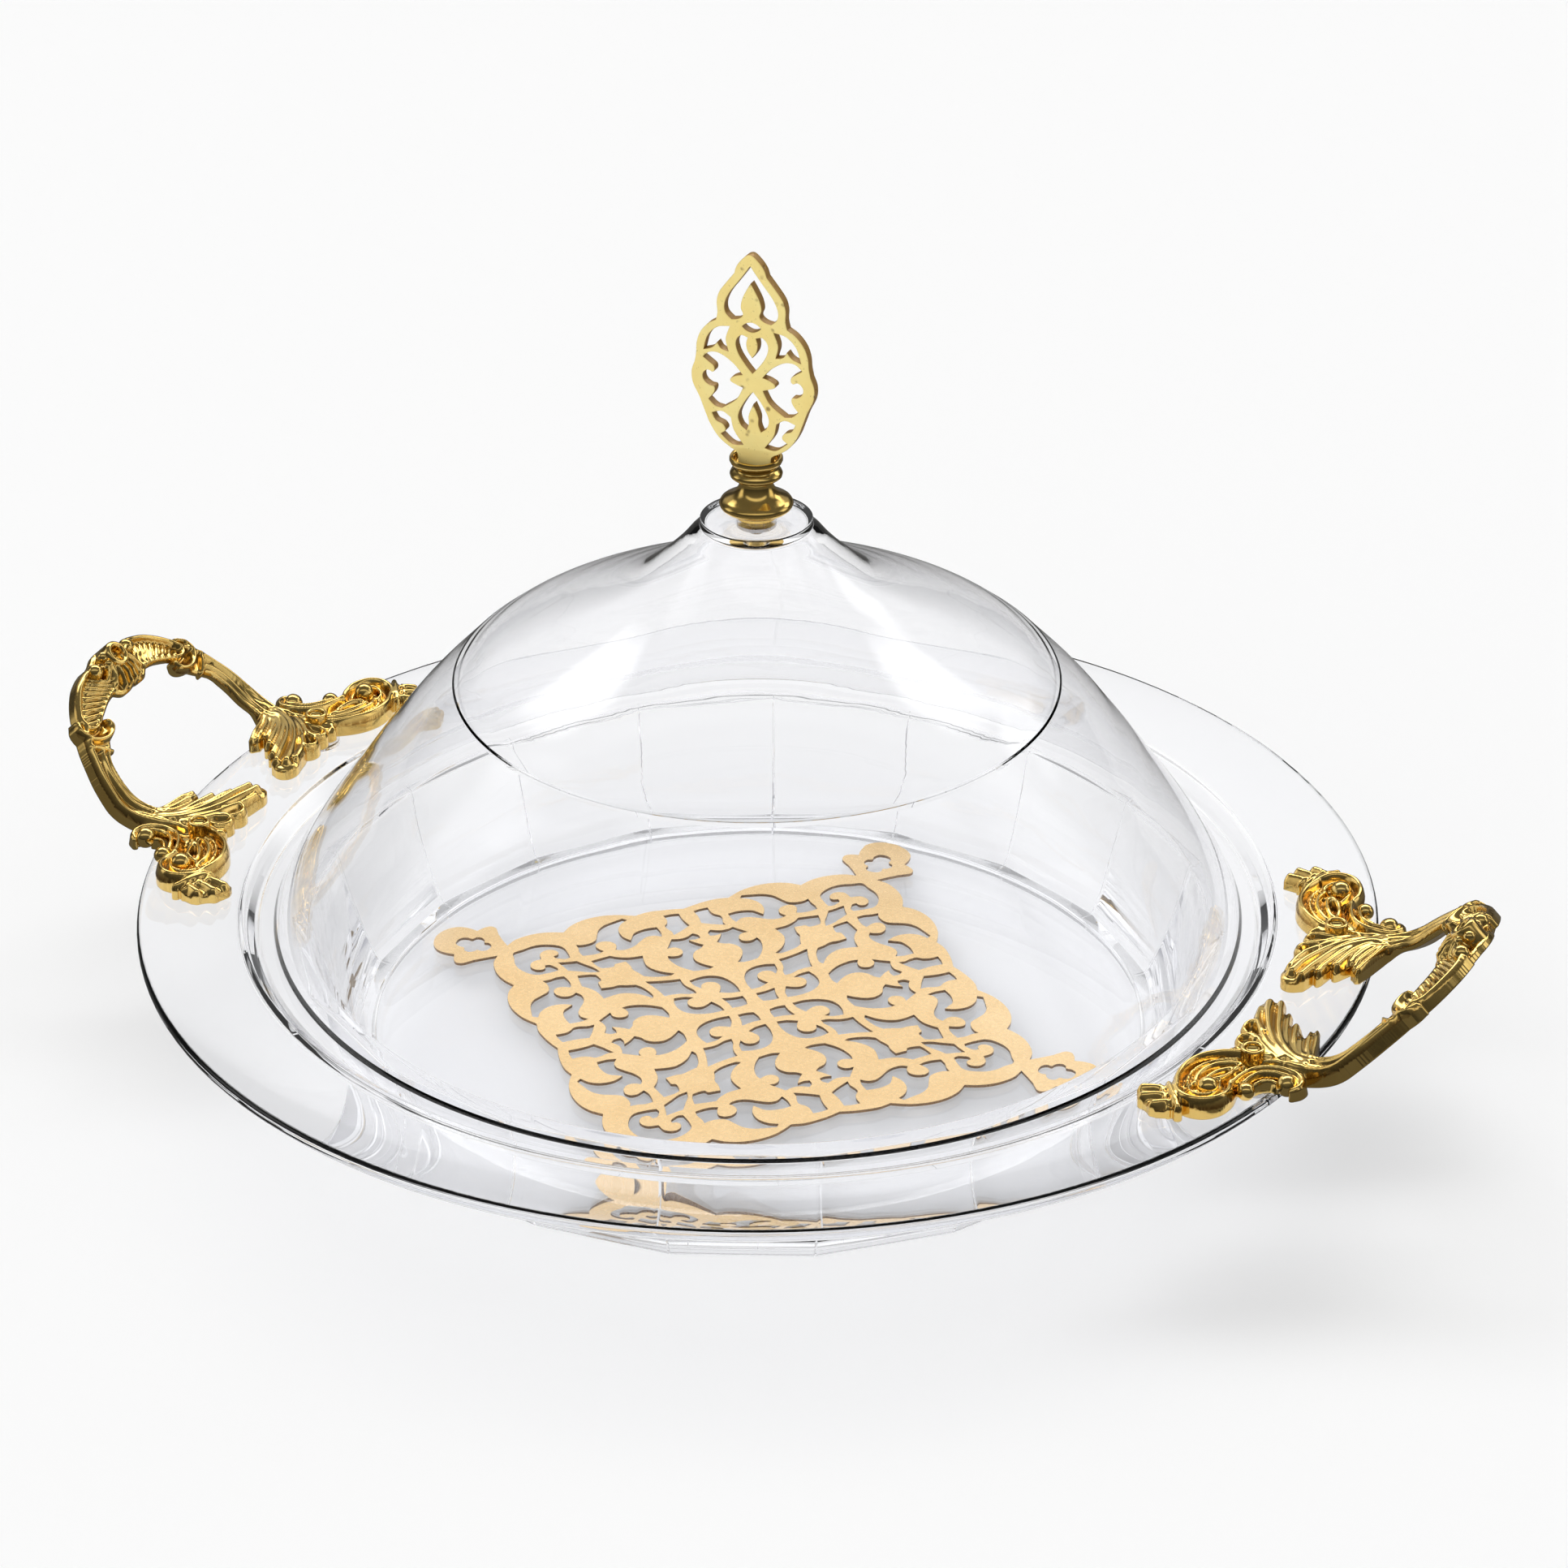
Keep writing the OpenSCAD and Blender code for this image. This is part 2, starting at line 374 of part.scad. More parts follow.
module handle_right() {
    color(gold) translate([0, 0, rim_z]) difference() {
        union() {
            half_handle();
            mirror([0, 1, 0]) half_handle();
            on_bow() translate([196.4, 0, 0]) cylinder(r = 4, h = 7.6, $fn = 64);
        }
        for (s = [-1, 1]) translate([screw_x, s * screw_y, -1]) cylinder(r = bore_r, h = 9, $fn = 48);
        on_bow() translate([197, 0, 4.6]) cylinder(r = 2, h = 5, $fn = 48);
    }
}
module handle_left() { mirror([1, 0, 0]) handle_right(); }

module at_screws() {
    for (sx = [-1, 1], sy = [-1, 1]) translate([sx * screw_x, sy * screw_y, 0]) children();
}
module handle_washer() {
    z = rim_z - rim_t;
    color(clear) at_screws() translate([0, 0, z - 1.5]) difference() {
        cylinder(r = 6, h = 1.5, $fn = 64);
        translate([0, 0, -1]) cylinder(r = 2.1, h = 4, $fn = 48);
    }
}
module handle_screw() {
    z = rim_z - rim_t - 1.5;
    color(steel) at_screws() difference() {
        union() {
            rotate_extrude($fn = 64) polygon([[0, z - 2.2], [2.4, z - 2.2], [3.3, z - 1.7], [3.7, z - 0.9], [3.7, z], [0, z]]);
            translate([0, 0, z - 1]) cylinder(r = screw_r, h = rim_t + 1.5 + 5.6, $fn = 48);
        }
        for (a = [0, 90]) rotate([0, 0, a]) translate([-2.1, -0.45, z - 3.2]) cube([4.2, 0.9, 2.2]);
    }
}

tray_base();
dome_cover();
finial_base();
finial_plate();
finial_screw();
finial_washer();
floor_lattice();
handle_left();
handle_right();
handle_screw();
handle_washer();
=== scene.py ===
import math

import bmesh
import bpy
import numpy as np
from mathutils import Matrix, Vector


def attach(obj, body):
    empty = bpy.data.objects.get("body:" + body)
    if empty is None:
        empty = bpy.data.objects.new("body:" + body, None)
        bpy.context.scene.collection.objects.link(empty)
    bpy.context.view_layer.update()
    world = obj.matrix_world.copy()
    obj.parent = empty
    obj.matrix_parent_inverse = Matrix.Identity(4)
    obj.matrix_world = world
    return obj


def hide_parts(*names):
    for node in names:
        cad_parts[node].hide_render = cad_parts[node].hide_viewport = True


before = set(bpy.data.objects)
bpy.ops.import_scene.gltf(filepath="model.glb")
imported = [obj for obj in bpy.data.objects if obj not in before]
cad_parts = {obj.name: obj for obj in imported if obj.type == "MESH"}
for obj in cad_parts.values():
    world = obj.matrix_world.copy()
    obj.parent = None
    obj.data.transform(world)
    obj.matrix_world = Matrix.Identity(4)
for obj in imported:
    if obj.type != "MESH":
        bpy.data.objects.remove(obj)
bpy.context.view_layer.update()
MM = 0.001

# ---------------------------------------------------------------- sizes (mm)
RIM_R, RIM_Z, RIM_T = 155.0, 40.5, 3.2
SEAT_Z, FLOOR_Z = 36.9, 6.0
DISC_Z = 144.5
PANELS, PANEL_TURN = 19, -2.4
BEND_U, BEND_R, BOW_A = 153.0, 19.2, math.radians(46)
SCREW_X, SCREW_Y = 141.3, 32.0


# ---------------------------------------------------------------- curves
def unit(v):
    n = math.hypot(v[0], v[1])
    return (v[0] / n, v[1] / n) if n > 1e-9 else (0.0, 0.0)


def sharp(p):
    return len(p) == 3 and p[2] == 1


def herm(a, b, ma, mb, t):
    a, b, ma, mb = map(np.asarray, (a, b, ma, mb))
    return ((2 * t**3 - 3 * t**2 + 1) * a + (t**3 - 2 * t**2 + t) * ma
            + (3 * t**2 - 2 * t**3) * b + (t**3 - t**2) * mb)


def loop(p, n):
    """A closed smooth curve through the points; a third value of 1 makes a corner."""
    out, m = [], len(p)

    def way(i, leaving):
        a, b, c = p[(i - 1) % m], p[i], p[(i + 1) % m]
        if sharp(b):
            return unit((c[0] - b[0], c[1] - b[1])) if leaving else unit((b[0] - a[0], b[1] - a[1]))
        return unit((c[0] - a[0], c[1] - a[1]))
    for i in range(m):
        j = (i + 1) % m
        a, b = np.array(p[i][:2], float), np.array(p[j][:2], float)
        d = float(np.hypot(*(b - a)))
        wa, wb = np.array(way(i, True)) * d, np.array(way(j, False)) * d
        for k in range(n):
            out.append(herm(a, b, wa, wb, k / n))
    return np.array(out)


def open_way(p, i):
    a, b = p[max(i - 1, 0)], p[min(i + 1, len(p) - 1)]
    return unit((b[0] - a[0], b[1] - a[1]))


def path(p, n):
    """An open smooth curve; the values after the first two are carried along."""
    out = []
    for i in range(len(p) - 1):
        a, b = np.array(p[i], float), np.array(p[i + 1], float)
        d = float(np.hypot(*(b - a)[:2]))
        wa, wb = np.array(open_way(p, i)) * d, np.array(open_way(p, i + 1)) * d
        for k in range(n):
            t = k / n
            q = herm(a[:2], b[:2], wa, wb, t)
            s = 3 * t * t - 2 * t**3
            out.append(np.concatenate([q, a[2:] + (b[2:] - a[2:]) * s]))
    out.append(np.array(p[-1], float))
    return np.array(out)


def flip(p):
    return [-p[0], p[1]] + ([1] if sharp(p) else [])


def swap(p):
    return [p[1], p[0]] + ([1] if sharp(p) else [])


def whole(h):
    return list(h) + [flip(q) for q in reversed(h) if abs(q[0]) > 0.001]


def bez(a, b, c, d, n):
    out = []
    for k in range(n + 1):
        t = k / n
        s = 1 - t
        out.append(tuple(s**3 * a[i] + 3 * s * s * t * b[i] + 3 * s * t * t * c[i] + t**3 * d[i] for i in (0, 1)))
    return out


# ---------------------------------------------------------------- meshes
def mesh_object(name, verts, faces, smooth=True, angle=38.0):
    me = bpy.data.meshes.new(name)
    me.from_pydata([tuple(v) for v in verts], [], [tuple(f) for f in faces])
    me.validate(clean_customdata=False)
    o = bpy.data.objects.new(name, me)
    bpy.context.scene.collection.objects.link(o)
    bm = bmesh.new()
    bm.from_mesh(me)
    bmesh.ops.recalc_face_normals(bm, faces=bm.faces)
    bm.to_mesh(me)
    bm.free()
    if smooth:
        me.polygons.foreach_set("use_smooth", [True] * len(me.polygons))
        me.set_sharp_from_angle(angle=math.radians(angle))
    me.update()
    return o


def rounded(points, n=4):
    """A profile of (r, z[, radius[, flag]]) with an arc at each point that has a radius."""
    out = []
    m = len(points)
    for i, p in enumerate(points):
        f = p[2] if len(p) > 2 else 0
        flag = p[3] if len(p) > 3 else 0
        if f <= 0 or i == 0 or i == m - 1:
            out.append((p[0], p[1], flag))
            continue
        a, b, c = (np.array(q[:2], float) for q in (points[i - 1], p, points[i + 1]))
        d1, d2 = (a - b), (c - b)
        l1, l2 = np.hypot(*d1), np.hypot(*d2)
        d1, d2 = d1 / l1, d2 / l2
        cosang = float(np.clip(d1 @ d2, -1, 1))
        half = math.acos(cosang) / 2
        cut = min(f / max(math.tan(half), 1e-6), 0.45 * l1, 0.45 * l2)
        rad = cut * math.tan(half)
        cen = b + (d1 + d2) / max(np.hypot(*(d1 + d2)), 1e-9) * rad / max(math.sin(half), 1e-6)
        s, e = b + d1 * cut - cen, b + d2 * cut - cen
        a0 = math.atan2(s[1], s[0])
        turn = math.atan2(s[0] * e[1] - s[1] * e[0], s @ e)
        for k in range(n + 1):
            w = a0 + turn * k / n
            out.append((cen[0] + rad * math.cos(w), cen[1] + rad * math.sin(w), flag))
    return out


def lathe(name, profile, angles, closed=False, radius=None, angle=38.0, rings=()):
    """Turns a profile of (r, z, flag) about Z. Points on the axis become poles; rings lists the profile points kept as sharp edges."""
    verts, rows = [], []
    for (r, z, flag) in profile:
        if abs(r) < 1e-6:
            rows.append([len(verts)])
            verts.append((0, 0, z * MM))
            continue
        row = []
        for w in angles:
            q = r if radius is None or not flag else radius(r, w)
            row.append(len(verts))
            verts.append((q * math.cos(w) * MM, q * math.sin(w) * MM, z * MM))
        rows.append(row)
    faces = []
    pairs = list(zip(rows[:-1], rows[1:]))
    if closed:
        pairs.append((rows[-1], rows[0]))
    n = len(angles)
    for a, b in pairs:
        for i in range(n):
            j = (i + 1) % n
            if len(a) == 1 and len(b) == 1:
                continue
            if len(a) == 1:
                faces.append((a[0], b[i], b[j]))
            elif len(b) == 1:
                faces.append((a[i], b[0], a[j]))
            else:
                faces.append((a[i], b[i], b[j], a[j]))
    o = mesh_object(name, verts, faces, angle=angle)
    if rings:
        me = o.data
        keep = set()
        for k in rings:
            row = rows[k]
            keep |= {tuple(sorted((row[i], row[(i + 1) % n]))) for i in range(n)}
        at = me.attributes.get("sharp_edge") or me.attributes.new("sharp_edge", "BOOLEAN", "EDGE")
        for e in me.edges:
            if tuple(sorted(e.vertices)) in keep:
                at.data[e.index].value = True
    return o


def even(n):
    return [2 * math.pi * k / n for k in range(n)]


# ---------------------------------------------------------------- nodes
def new_material(name):
    m = bpy.data.materials.new(name)
    m.use_nodes = True
    t = m.node_tree
    t.nodes.clear()
    out = t.nodes.new("ShaderNodeOutputMaterial")
    return m, t, out


def node(t, kind, **values):
    n = t.nodes.new(kind)
    for k, v in values.items():
        setattr(n, k, v)
    return n


def noise(t, scale, detail=4.0, rough=0.55, coord=None):
    n = node(t, "ShaderNodeTexNoise")
    n.inputs["Scale"].default_value = scale
    n.inputs["Detail"].default_value = detail
    n.inputs["Roughness"].default_value = rough
    if coord is not None:
        t.links.new(coord, n.inputs["Vector"])
    return n


def ramp(t, src, stops):
    n = node(t, "ShaderNodeValToRGB")
    e = n.color_ramp.elements
    while len(e) > 1:
        e.remove(e[-1])
    e[0].position, e[0].color = stops[0][0], (*stops[0][1], 1)
    for p, c in stops[1:]:
        x = e.new(p)
        x.color = (*c, 1)
    t.links.new(src, n.inputs["Fac"])
    return n.outputs["Color"]


def maprange(t, src, a, b, c, d, kind="LINEAR"):
    n = node(t, "ShaderNodeMapRange", interpolation_type=kind)
    for i, v in zip((1, 2, 3, 4), (a, b, c, d)):
        n.inputs[i].default_value = v
    t.links.new(src, n.inputs[0])
    return n.outputs[0]


def math_node(t, op, a, b=None, clamp=False):
    n = node(t, "ShaderNodeMath", operation=op, use_clamp=clamp)
    for i, v in enumerate((a, b)):
        if v is None:
            continue
        if isinstance(v, (int, float)):
            n.inputs[i].default_value = v
        else:
            t.links.new(v, n.inputs[i])
    return n.outputs[0]


def mix_color(t, fac, a, b, kind="MIX"):
    n = node(t, "ShaderNodeMix", data_type="RGBA", blend_type=kind)
    for k, v in ((0, fac), (6, a), (7, b)):
        if isinstance(v, tuple):
            n.inputs[k].default_value = (*v, 1)
        elif isinstance(v, (int, float)):
            n.inputs[k].default_value = v
        else:
            t.links.new(v, n.inputs[k])
    return n.outputs[2]


def bump(t, height, strength, distance, normal=None):
    n = node(t, "ShaderNodeBump")
    n.inputs["Strength"].default_value = strength
    n.inputs["Distance"].default_value = distance
    t.links.new(height, n.inputs["Height"])
    if normal is not None:
        t.links.new(normal, n.inputs["Normal"])
    return n.outputs["Normal"]


def object_coord(t):
    return node(t, "ShaderNodeTexCoord").outputs["Object"]


# ---------------------------------------------------------------- materials
def acrylic(name, shade=(0.975, 0.977, 0.985), body=(0.974, 0.976, 0.983), rim=(0.84, 0.84, 0.86), haze=0.012):
    m, t, out = new_material(name)
    p = node(t, "ShaderNodeBsdfPrincipled")
    c = object_coord(t)
    # painted shade: a clear moulding is given a greyer base colour where it is seen along its wall
    lw = node(t, "ShaderNodeLayerWeight")
    lw.inputs["Blend"].default_value = 0.5
    t.links.new(mix_color(t, maprange(t, lw.outputs["Facing"], 0.35, 0.95, 0.0, 1.0, "SMOOTHSTEP"), body, rim),
                p.inputs["Base Color"])
    p.inputs["Transmission Weight"].default_value = 1.0
    p.inputs["IOR"].default_value = 1.49
    wear = noise(t, 60.0, 1.0, 0.5, c)
    t.links.new(maprange(t, wear.outputs["Fac"], 0.35, 0.75, 0.0, haze), p.inputs["Roughness"])
    wave = noise(t, 9.0, 0.0, 0.4, c)
    t.links.new(bump(t, wave.outputs["Fac"], 0.25, 0.0006), p.inputs["Normal"])
    clear = node(t, "ShaderNodeBsdfTransparent")
    graze = maprange(t, lw.outputs["Facing"], 0.55, 1.0, 0.0, 1.0, "SMOOTHSTEP")
    t.links.new(mix_color(t, graze, shade, (0.84, 0.84, 0.86)), clear.inputs["Color"])
    lp = node(t, "ShaderNodeLightPath")
    mix = node(t, "ShaderNodeMixShader")
    trapped = math_node(t, "GREATER_THAN", lp.outputs["Ray Depth"], 6.5)
    t.links.new(math_node(t, "MAXIMUM", math_node(t, "MAXIMUM", lp.outputs["Is Shadow Ray"], lp.outputs["Is Diffuse Ray"]), trapped),
                mix.inputs[0])
    t.links.new(p.outputs[0], mix.inputs[1])
    t.links.new(clear.outputs[0], mix.inputs[2])
    t.links.new(mix.outputs[0], out.inputs["Surface"])
    return m


def gilt(name, light, deep, rough, grain=900.0, pits=0.0, cavity=False, edge=None, metal=1.0):
    m, t, out = new_material(name)
    p = node(t, "ShaderNodeBsdfPrincipled")
    c = object_coord(t)
    big = noise(t, 70.0, 4.0, 0.6, c)
    col = mix_color(t, maprange(t, big.outputs["Fac"], 0.35, 0.65, 0.0, 1.0), light, deep)
    # the cavity mask darkens hollows towards dark brown: partly patina, partly painted shade
    if cavity:
        at = node(t, "ShaderNodeAttribute", attribute_name="cavity")
        col = mix_color(t, at.outputs["Fac"], col, (0.34, 0.17, 0.035))
    # painted shade: faces turned away from the given axis darken towards the edge colour, so the sides of a plate look
    # shaded
    if edge is not None:
        g = node(t, "ShaderNodeNewGeometry")
        s = node(t, "ShaderNodeSeparateXYZ")
        t.links.new(g.outputs["Normal"], s.inputs[0])
        flat = math_node(t, "ABSOLUTE", s.outputs[edge[0]])
        col = mix_color(t, maprange(t, flat, 0.3, 0.75, 1.0, 0.0), col, edge[1])
    t.links.new(col, p.inputs["Base Color"])
    p.inputs["Metallic"].default_value = metal
    fine = noise(t, grain, 3.0, 0.6, c)
    r = maprange(t, fine.outputs["Fac"], 0.3, 0.7, rough * 0.75, rough * 1.3)
    normal = bump(t, fine.outputs["Fac"], 0.10, 0.00004)
    if pits > 0:
        v = node(t, "ShaderNodeTexVoronoi", feature="F1")
        v.inputs["Scale"].default_value = 420.0
        v.inputs["Randomness"].default_value = 1.0
        t.links.new(c, v.inputs["Vector"])
        sparse = noise(t, 260.0, 2.0, 0.5, c)
        hole = math_node(t, "MULTIPLY", maprange(t, v.outputs["Distance"], 0.10, 0.34, 1.0, 0.0, "SMOOTHSTEP"),
                         maprange(t, sparse.outputs["Fac"], 0.55, 0.66, 0.0, 1.0))
        sand = noise(t, 1500.0, 4.0, 0.7, c)
        normal = bump(t, sand.outputs["Fac"], pits, 0.00012, normal)
        normal = bump(t, math_node(t, "MULTIPLY", hole, -1.0), min(1.0, pits * 2.2), 0.00025, normal)
        t.links.new(mix_color(t, math_node(t, "MULTIPLY", hole, 0.75), col, (0.25, 0.15, 0.05)), p.inputs["Base Color"])
    t.links.new(r, p.inputs["Roughness"])
    t.links.new(normal, p.inputs["Normal"])
    t.links.new(p.outputs[0], out.inputs["Surface"])
    return m


def steel(name):
    m, t, out = new_material(name)
    p = node(t, "ShaderNodeBsdfPrincipled")
    c = object_coord(t)
    n = noise(t, 500.0, 4.0, 0.6, c)
    t.links.new(mix_color(t, n.outputs["Fac"], (0.52, 0.52, 0.54), (0.68, 0.68, 0.69)), p.inputs["Base Color"])
    p.inputs["Metallic"].default_value = 1.0
    t.links.new(maprange(t, n.outputs["Fac"], 0.3, 0.7, 0.22, 0.38), p.inputs["Roughness"])
    t.links.new(bump(t, n.outputs["Fac"], 0.15, 0.00005), p.inputs["Normal"])
    t.links.new(p.outputs[0], out.inputs["Surface"])
    return m


# the rim colours below are painted grey shade on the mouldings where they are seen along their walls
ACRYLIC = acrylic("clear_moulding", shade=(0.955, 0.957, 0.965))
BELL = acrylic("clear_bell", shade=(0.985, 0.986, 0.99), body=(0.984, 0.985, 0.99), rim=(0.78, 0.78, 0.80))
WASHER = acrylic("clear_washer", haze=0.06)
GOLD = gilt("gilt_polished", (0.86, 0.61, 0.20), (0.78, 0.52, 0.15), 0.15, cavity=True)
TURNED = gilt("gilt_turned", (0.84, 0.58, 0.18), (0.70, 0.46, 0.12), 0.14)
# the leaf's sides get painted shade in dark brown through edge
CAST = gilt("gilt_cast", (1.0, 0.84, 0.34), (0.98, 0.77, 0.27), 0.34, pits=0.45, edge=(1, (0.40, 0.22, 0.05)), metal=0.2)
# the sheet's side walls get painted shade in dark brown through edge
SHEET = gilt("gilt_sheet", (0.98, 0.70, 0.36), (0.92, 0.64, 0.31), 0.28, edge=(2, (0.30, 0.18, 0.09)))
STEEL = steel("plain_steel")


def dress(o, mat):
    o.data.materials.clear()
    o.data.materials.append(mat)
    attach(o, "root")
    return o


for name, mat in (("finial_screw", STEEL), ("finial_washer", STEEL), ("handle_screw", STEEL), ("handle_washer", WASHER)):
    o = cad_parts[name]
    o.data.materials.clear()
    o.data.materials.append(mat)

# ---------------------------------------------------------------- tray
half = math.pi / PANELS
step = [-1, -0.982, -0.964, -0.94, -0.8, -0.55, -0.28, 0, 0.28, 0.55, 0.8, 0.94, 0.964, 0.982]
tray_angles = [math.radians(PANEL_TURN) + (2 * k + 1) * half + s * half for k in range(PANELS) for s in step]


def panel_radius(r, w):
    x = (w - math.radians(PANEL_TURN)) % (2 * half) - half
    # a fine groove where two panels meet
    groove = 0.3 if abs(abs(x) - half) < 0.005 * half else 0.0
    return min(r * math.cos(half) / math.cos(x), r * 0.9992) - groove


well = [(x, z, 0) for x, z in bez((95.3, FLOOR_Z), (104.5, FLOOR_Z), (108, 20), (111.6, SEAT_Z), 26)]
tray_profile = ([(0, FLOOR_Z, 0), (30, FLOOR_Z, 0), (60, FLOOR_Z, 0), (85, FLOOR_Z, 0), (93, FLOOR_Z, 0)] + well[:-2]
                + rounded([well[-2], (111.6, SEAT_Z, 1.2), (124.5, SEAT_Z, 0.9), (128.9, RIM_Z, 0.8),
                           (155, RIM_Z, 1.2), (155, RIM_Z - RIM_T, 1.2), (130, RIM_Z - RIM_T, 1.5),
                           (127.4, SEAT_Z - 3.2, 1.2), (115.6, SEAT_Z - 3.2, 1.0, 1), (110, 16, 3.0, 1),
                           (106.6, 3, 2.0, 1), (105, 0, 0.4, 1), (99, 0, 0.4), (99, 1.4, 0.4), (97.4, 3, 0.8),
                           (60, 3)], 5)[1:]
                + [(30, 3, 0), (0, 3, 0)])
tray = lathe("tray_moulding", tray_profile, tray_angles, radius=panel_radius, angle=32)

# the four screw holes in the rim
cut = []
for sx in (-1, 1):
    for sy in (-1, 1):
        bpy.ops.mesh.primitive_cylinder_add(vertices=40, radius=2.25 * MM, depth=8 * MM,
                                            location=(sx * SCREW_X * MM, sy * SCREW_Y * MM, 39 * MM))
        cut.append(bpy.context.object)
bpy.ops.object.select_all(action="DESELECT")
for o in cut:
    o.select_set(True)
bpy.context.view_layer.objects.active = cut[0]
bpy.ops.object.join()
drill = bpy.context.object
mod = tray.modifiers.new("holes", "BOOLEAN")
mod.operation, mod.solver, mod.object = "DIFFERENCE", "EXACT", drill
bpy.context.view_layer.objects.active = tray
for o in bpy.context.selected_objects:
    o.select_set(False)
tray.select_set(True)
bpy.ops.object.modifier_apply(modifier="holes")
bpy.data.objects.remove(drill, do_unlink=True)
tray.data.polygons.foreach_set("use_smooth", [True] * len(tray.data.polygons))
tray.data.set_sharp_from_angle(angle=math.radians(32))
dress(tray, ACRYLIC)
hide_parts("tray_base")

# ---------------------------------------------------------------- dome
bell = [[121.4, 0], [118.8, 5.3], [115.6, 11], [112, 16.5], [108.1, 22.1], [104.1, 27.7],
        [100.2, 33.2], [96.2, 38.9], [92, 44.4], [87.7, 50], [82.9, 55.6], [77.8, 61],
        [74.4, 64.6], [67.8, 69.6], [58.1, 74.8], [48.4, 79.4], [38.8, 84.2], [31, 89],
        [24.2, 94.7], [19.4, 99.5], [15.6, 104.2]]
CREASE = 12


def bell_curve(points, n=5):
    out = []
    lower = path(points[:CREASE + 1], n)
    upper = path(points[CREASE:], n)
    out = [tuple(q) for q in lower[:-1]] + [tuple(q) for q in upper]
    return out, len(lower) - 1


skin, crease = bell_curve(bell)
lower = np.array(skin[:crease + 1])
upper = np.array(skin[crease:])


def inward(p, d):
    w = np.gradient(p, axis=0)
    w /= np.hypot(w[:, 0], w[:, 1])[:, None]
    return p - np.stack([w[:, 1], -w[:, 0]], 1) * d


in_low, in_up = inward(lower, 2.8), inward(upper, 2.8)
inner = [tuple(q) for q in in_low if q[1] < in_up[0][1] - 0.3] + [tuple(q) for q in in_up if q[0] < in_low[-1][0] + 0.05]
Z0 = SEAT_Z + 0.06
top = DISC_Z - SEAT_Z
outer = []
for k, (r, z) in enumerate(skin):
    if not 1.0 < z < 103.6:
        continue
    if k == crease:  # a fine groove along the crease
        a, b = unit((skin[k - 1][0] - r, skin[k - 1][1] - z)), unit((skin[k + 1][0] - r, skin[k + 1][1] - z))
        outer += [(r + 0.34 * a[0], z + 0.34 * a[1]), (r - 0.34, z - 0.38), (r + 0.34 * b[0], z + 0.34 * b[1])]
    else:
        outer.append((r, z))
prof = ([(118.6, 0.0, 0.5), (121.4, 0.0, 0.5)] + [(r, z) for r, z in outer]
        + [(14.6, 105.0, 0.8), (13.75, 105.9, 0.3), (13.7, top, 0.45), (2.1, top, 0.2), (2.1, top - 3.2, 0.2),
           (12.2, top - 3.2, 1.0)])
inner_up = [q for q in reversed(inner) if q[1] > 1.5 and q[1] < 102.0]
prof += [(r, z) for r, z in inner_up]
dome_profile = [(r, z + Z0, 0) for r, z, _ in rounded([(*p, 0) if len(p) == 2 else p for p in prof], 4)]
bend_out = (upper[0][0] - 0.34, upper[0][1] - 0.38)
bend_in = (in_low[-1][0] + in_up[0][0]) / 2, (in_low[-1][1] + in_up[0][1]) / 2
creases = [min(range(len(dome_profile)), key=lambda i: math.hypot(dome_profile[i][0] - q[0], dome_profile[i][1] - Z0 - q[1]))
           for q in (bend_out, bend_in)]
print("creases", [dome_profile[i] for i in creases])
dome = lathe("dome_moulding", dome_profile, even(256), closed=True, angle=24, rings=creases)
dress(dome, BELL)
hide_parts("dome_cover")

# ---------------------------------------------------------------- finial
z = DISC_Z
ped = [(0, z + 0.04), (4.4, z + 0.04), (5.0, z + 0.3, 0.2), (5.2, z + 1.5, 0.2), (6.6, z + 1.9), (7.9, z + 2.45), (8.7, z + 3.1), (9.0, z + 3.85),
       (8.6, z + 4.6), (7.6, z + 5.2), (6.3, z + 5.9), (5.2, z + 6.8), (4.5, z + 7.8), (4.05, z + 8.8),
       (3.9, z + 9.7), (4.2, z + 10.35, 0.15), (5.6, z + 10.6), (6.25, z + 11.1), (6.4, z + 11.7), (6.15, z + 12.3),
       (5.3, z + 12.75), (4.9, z + 13.2, 0.2), (5.4, z + 13.9), (6.1, z + 14.5), (6.45, z + 15.2), (6.45, z + 15.8),
       (6.2, z + 16.25), (5.8, z + 16.3), (5.45, z + 16.0), (5.2, z + 15.2), (4.9, z + 14.2, 0.4), (0, z + 14.2)]
pedestal = lathe("finial_pedestal", rounded([(*p, 0) if len(p) == 2 else p for p in ped], 3), even(96), angle=50)
dress(pedestal, TURNED)
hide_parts("finial_base")

leaf_out = [[0, 121], [4.5, 121, 1], [5.9, 121.6], [9, 123.8], [11.3, 127], [12.8, 130.6], [14, 133.8],
            [15.7, 137.4], [15.9, 140.4], [15, 143, 1], [14.6, 145.2], [14.4, 147.8], [13.4, 150.6],
            [11.3, 153.1], [9.2, 154.4, 1], [8.8, 156.4], [8.9, 159.2], [8.2, 161.6], [6.2, 164.4],
            [4.2, 166.9, 1], [3.6, 168.7], [2, 170.8], [0, 172.1]]
leaf_ring = [[0, 169.2, 1], [1.4, 167.2], [3.5, 164.4], [5.6, 161.6], [6.8, 158.8], [6.6, 156.6],
             [5.1, 155.1, 1], [3.4, 155.5], [2.2, 156.6], [2.7, 158.4], [2.3, 160.6], [1.2, 162.9],
             [0, 164.9, 1]]
leaf_lens = [[0, 152.5], [1.6, 153, 0], [2.4, 153.7, 1], [1.4, 154.5], [0, 154.9]]
leaf_heart = [[0, 141.9, 1], [1.8, 144], [3.6, 146.8], [4.1, 149.5], [2.8, 151.3], [1.1, 151, 1],
              [1.5, 149.4], [1.2, 147.6], [0, 145.8, 1]]
leaf_ogive = [[0, 137.1, 1], [2, 134.6], [3.9, 130.7], [3.4, 128.3], [1.9, 127, 1], [1.3, 128.7],
              [1.3, 130.8], [0, 134, 1]]
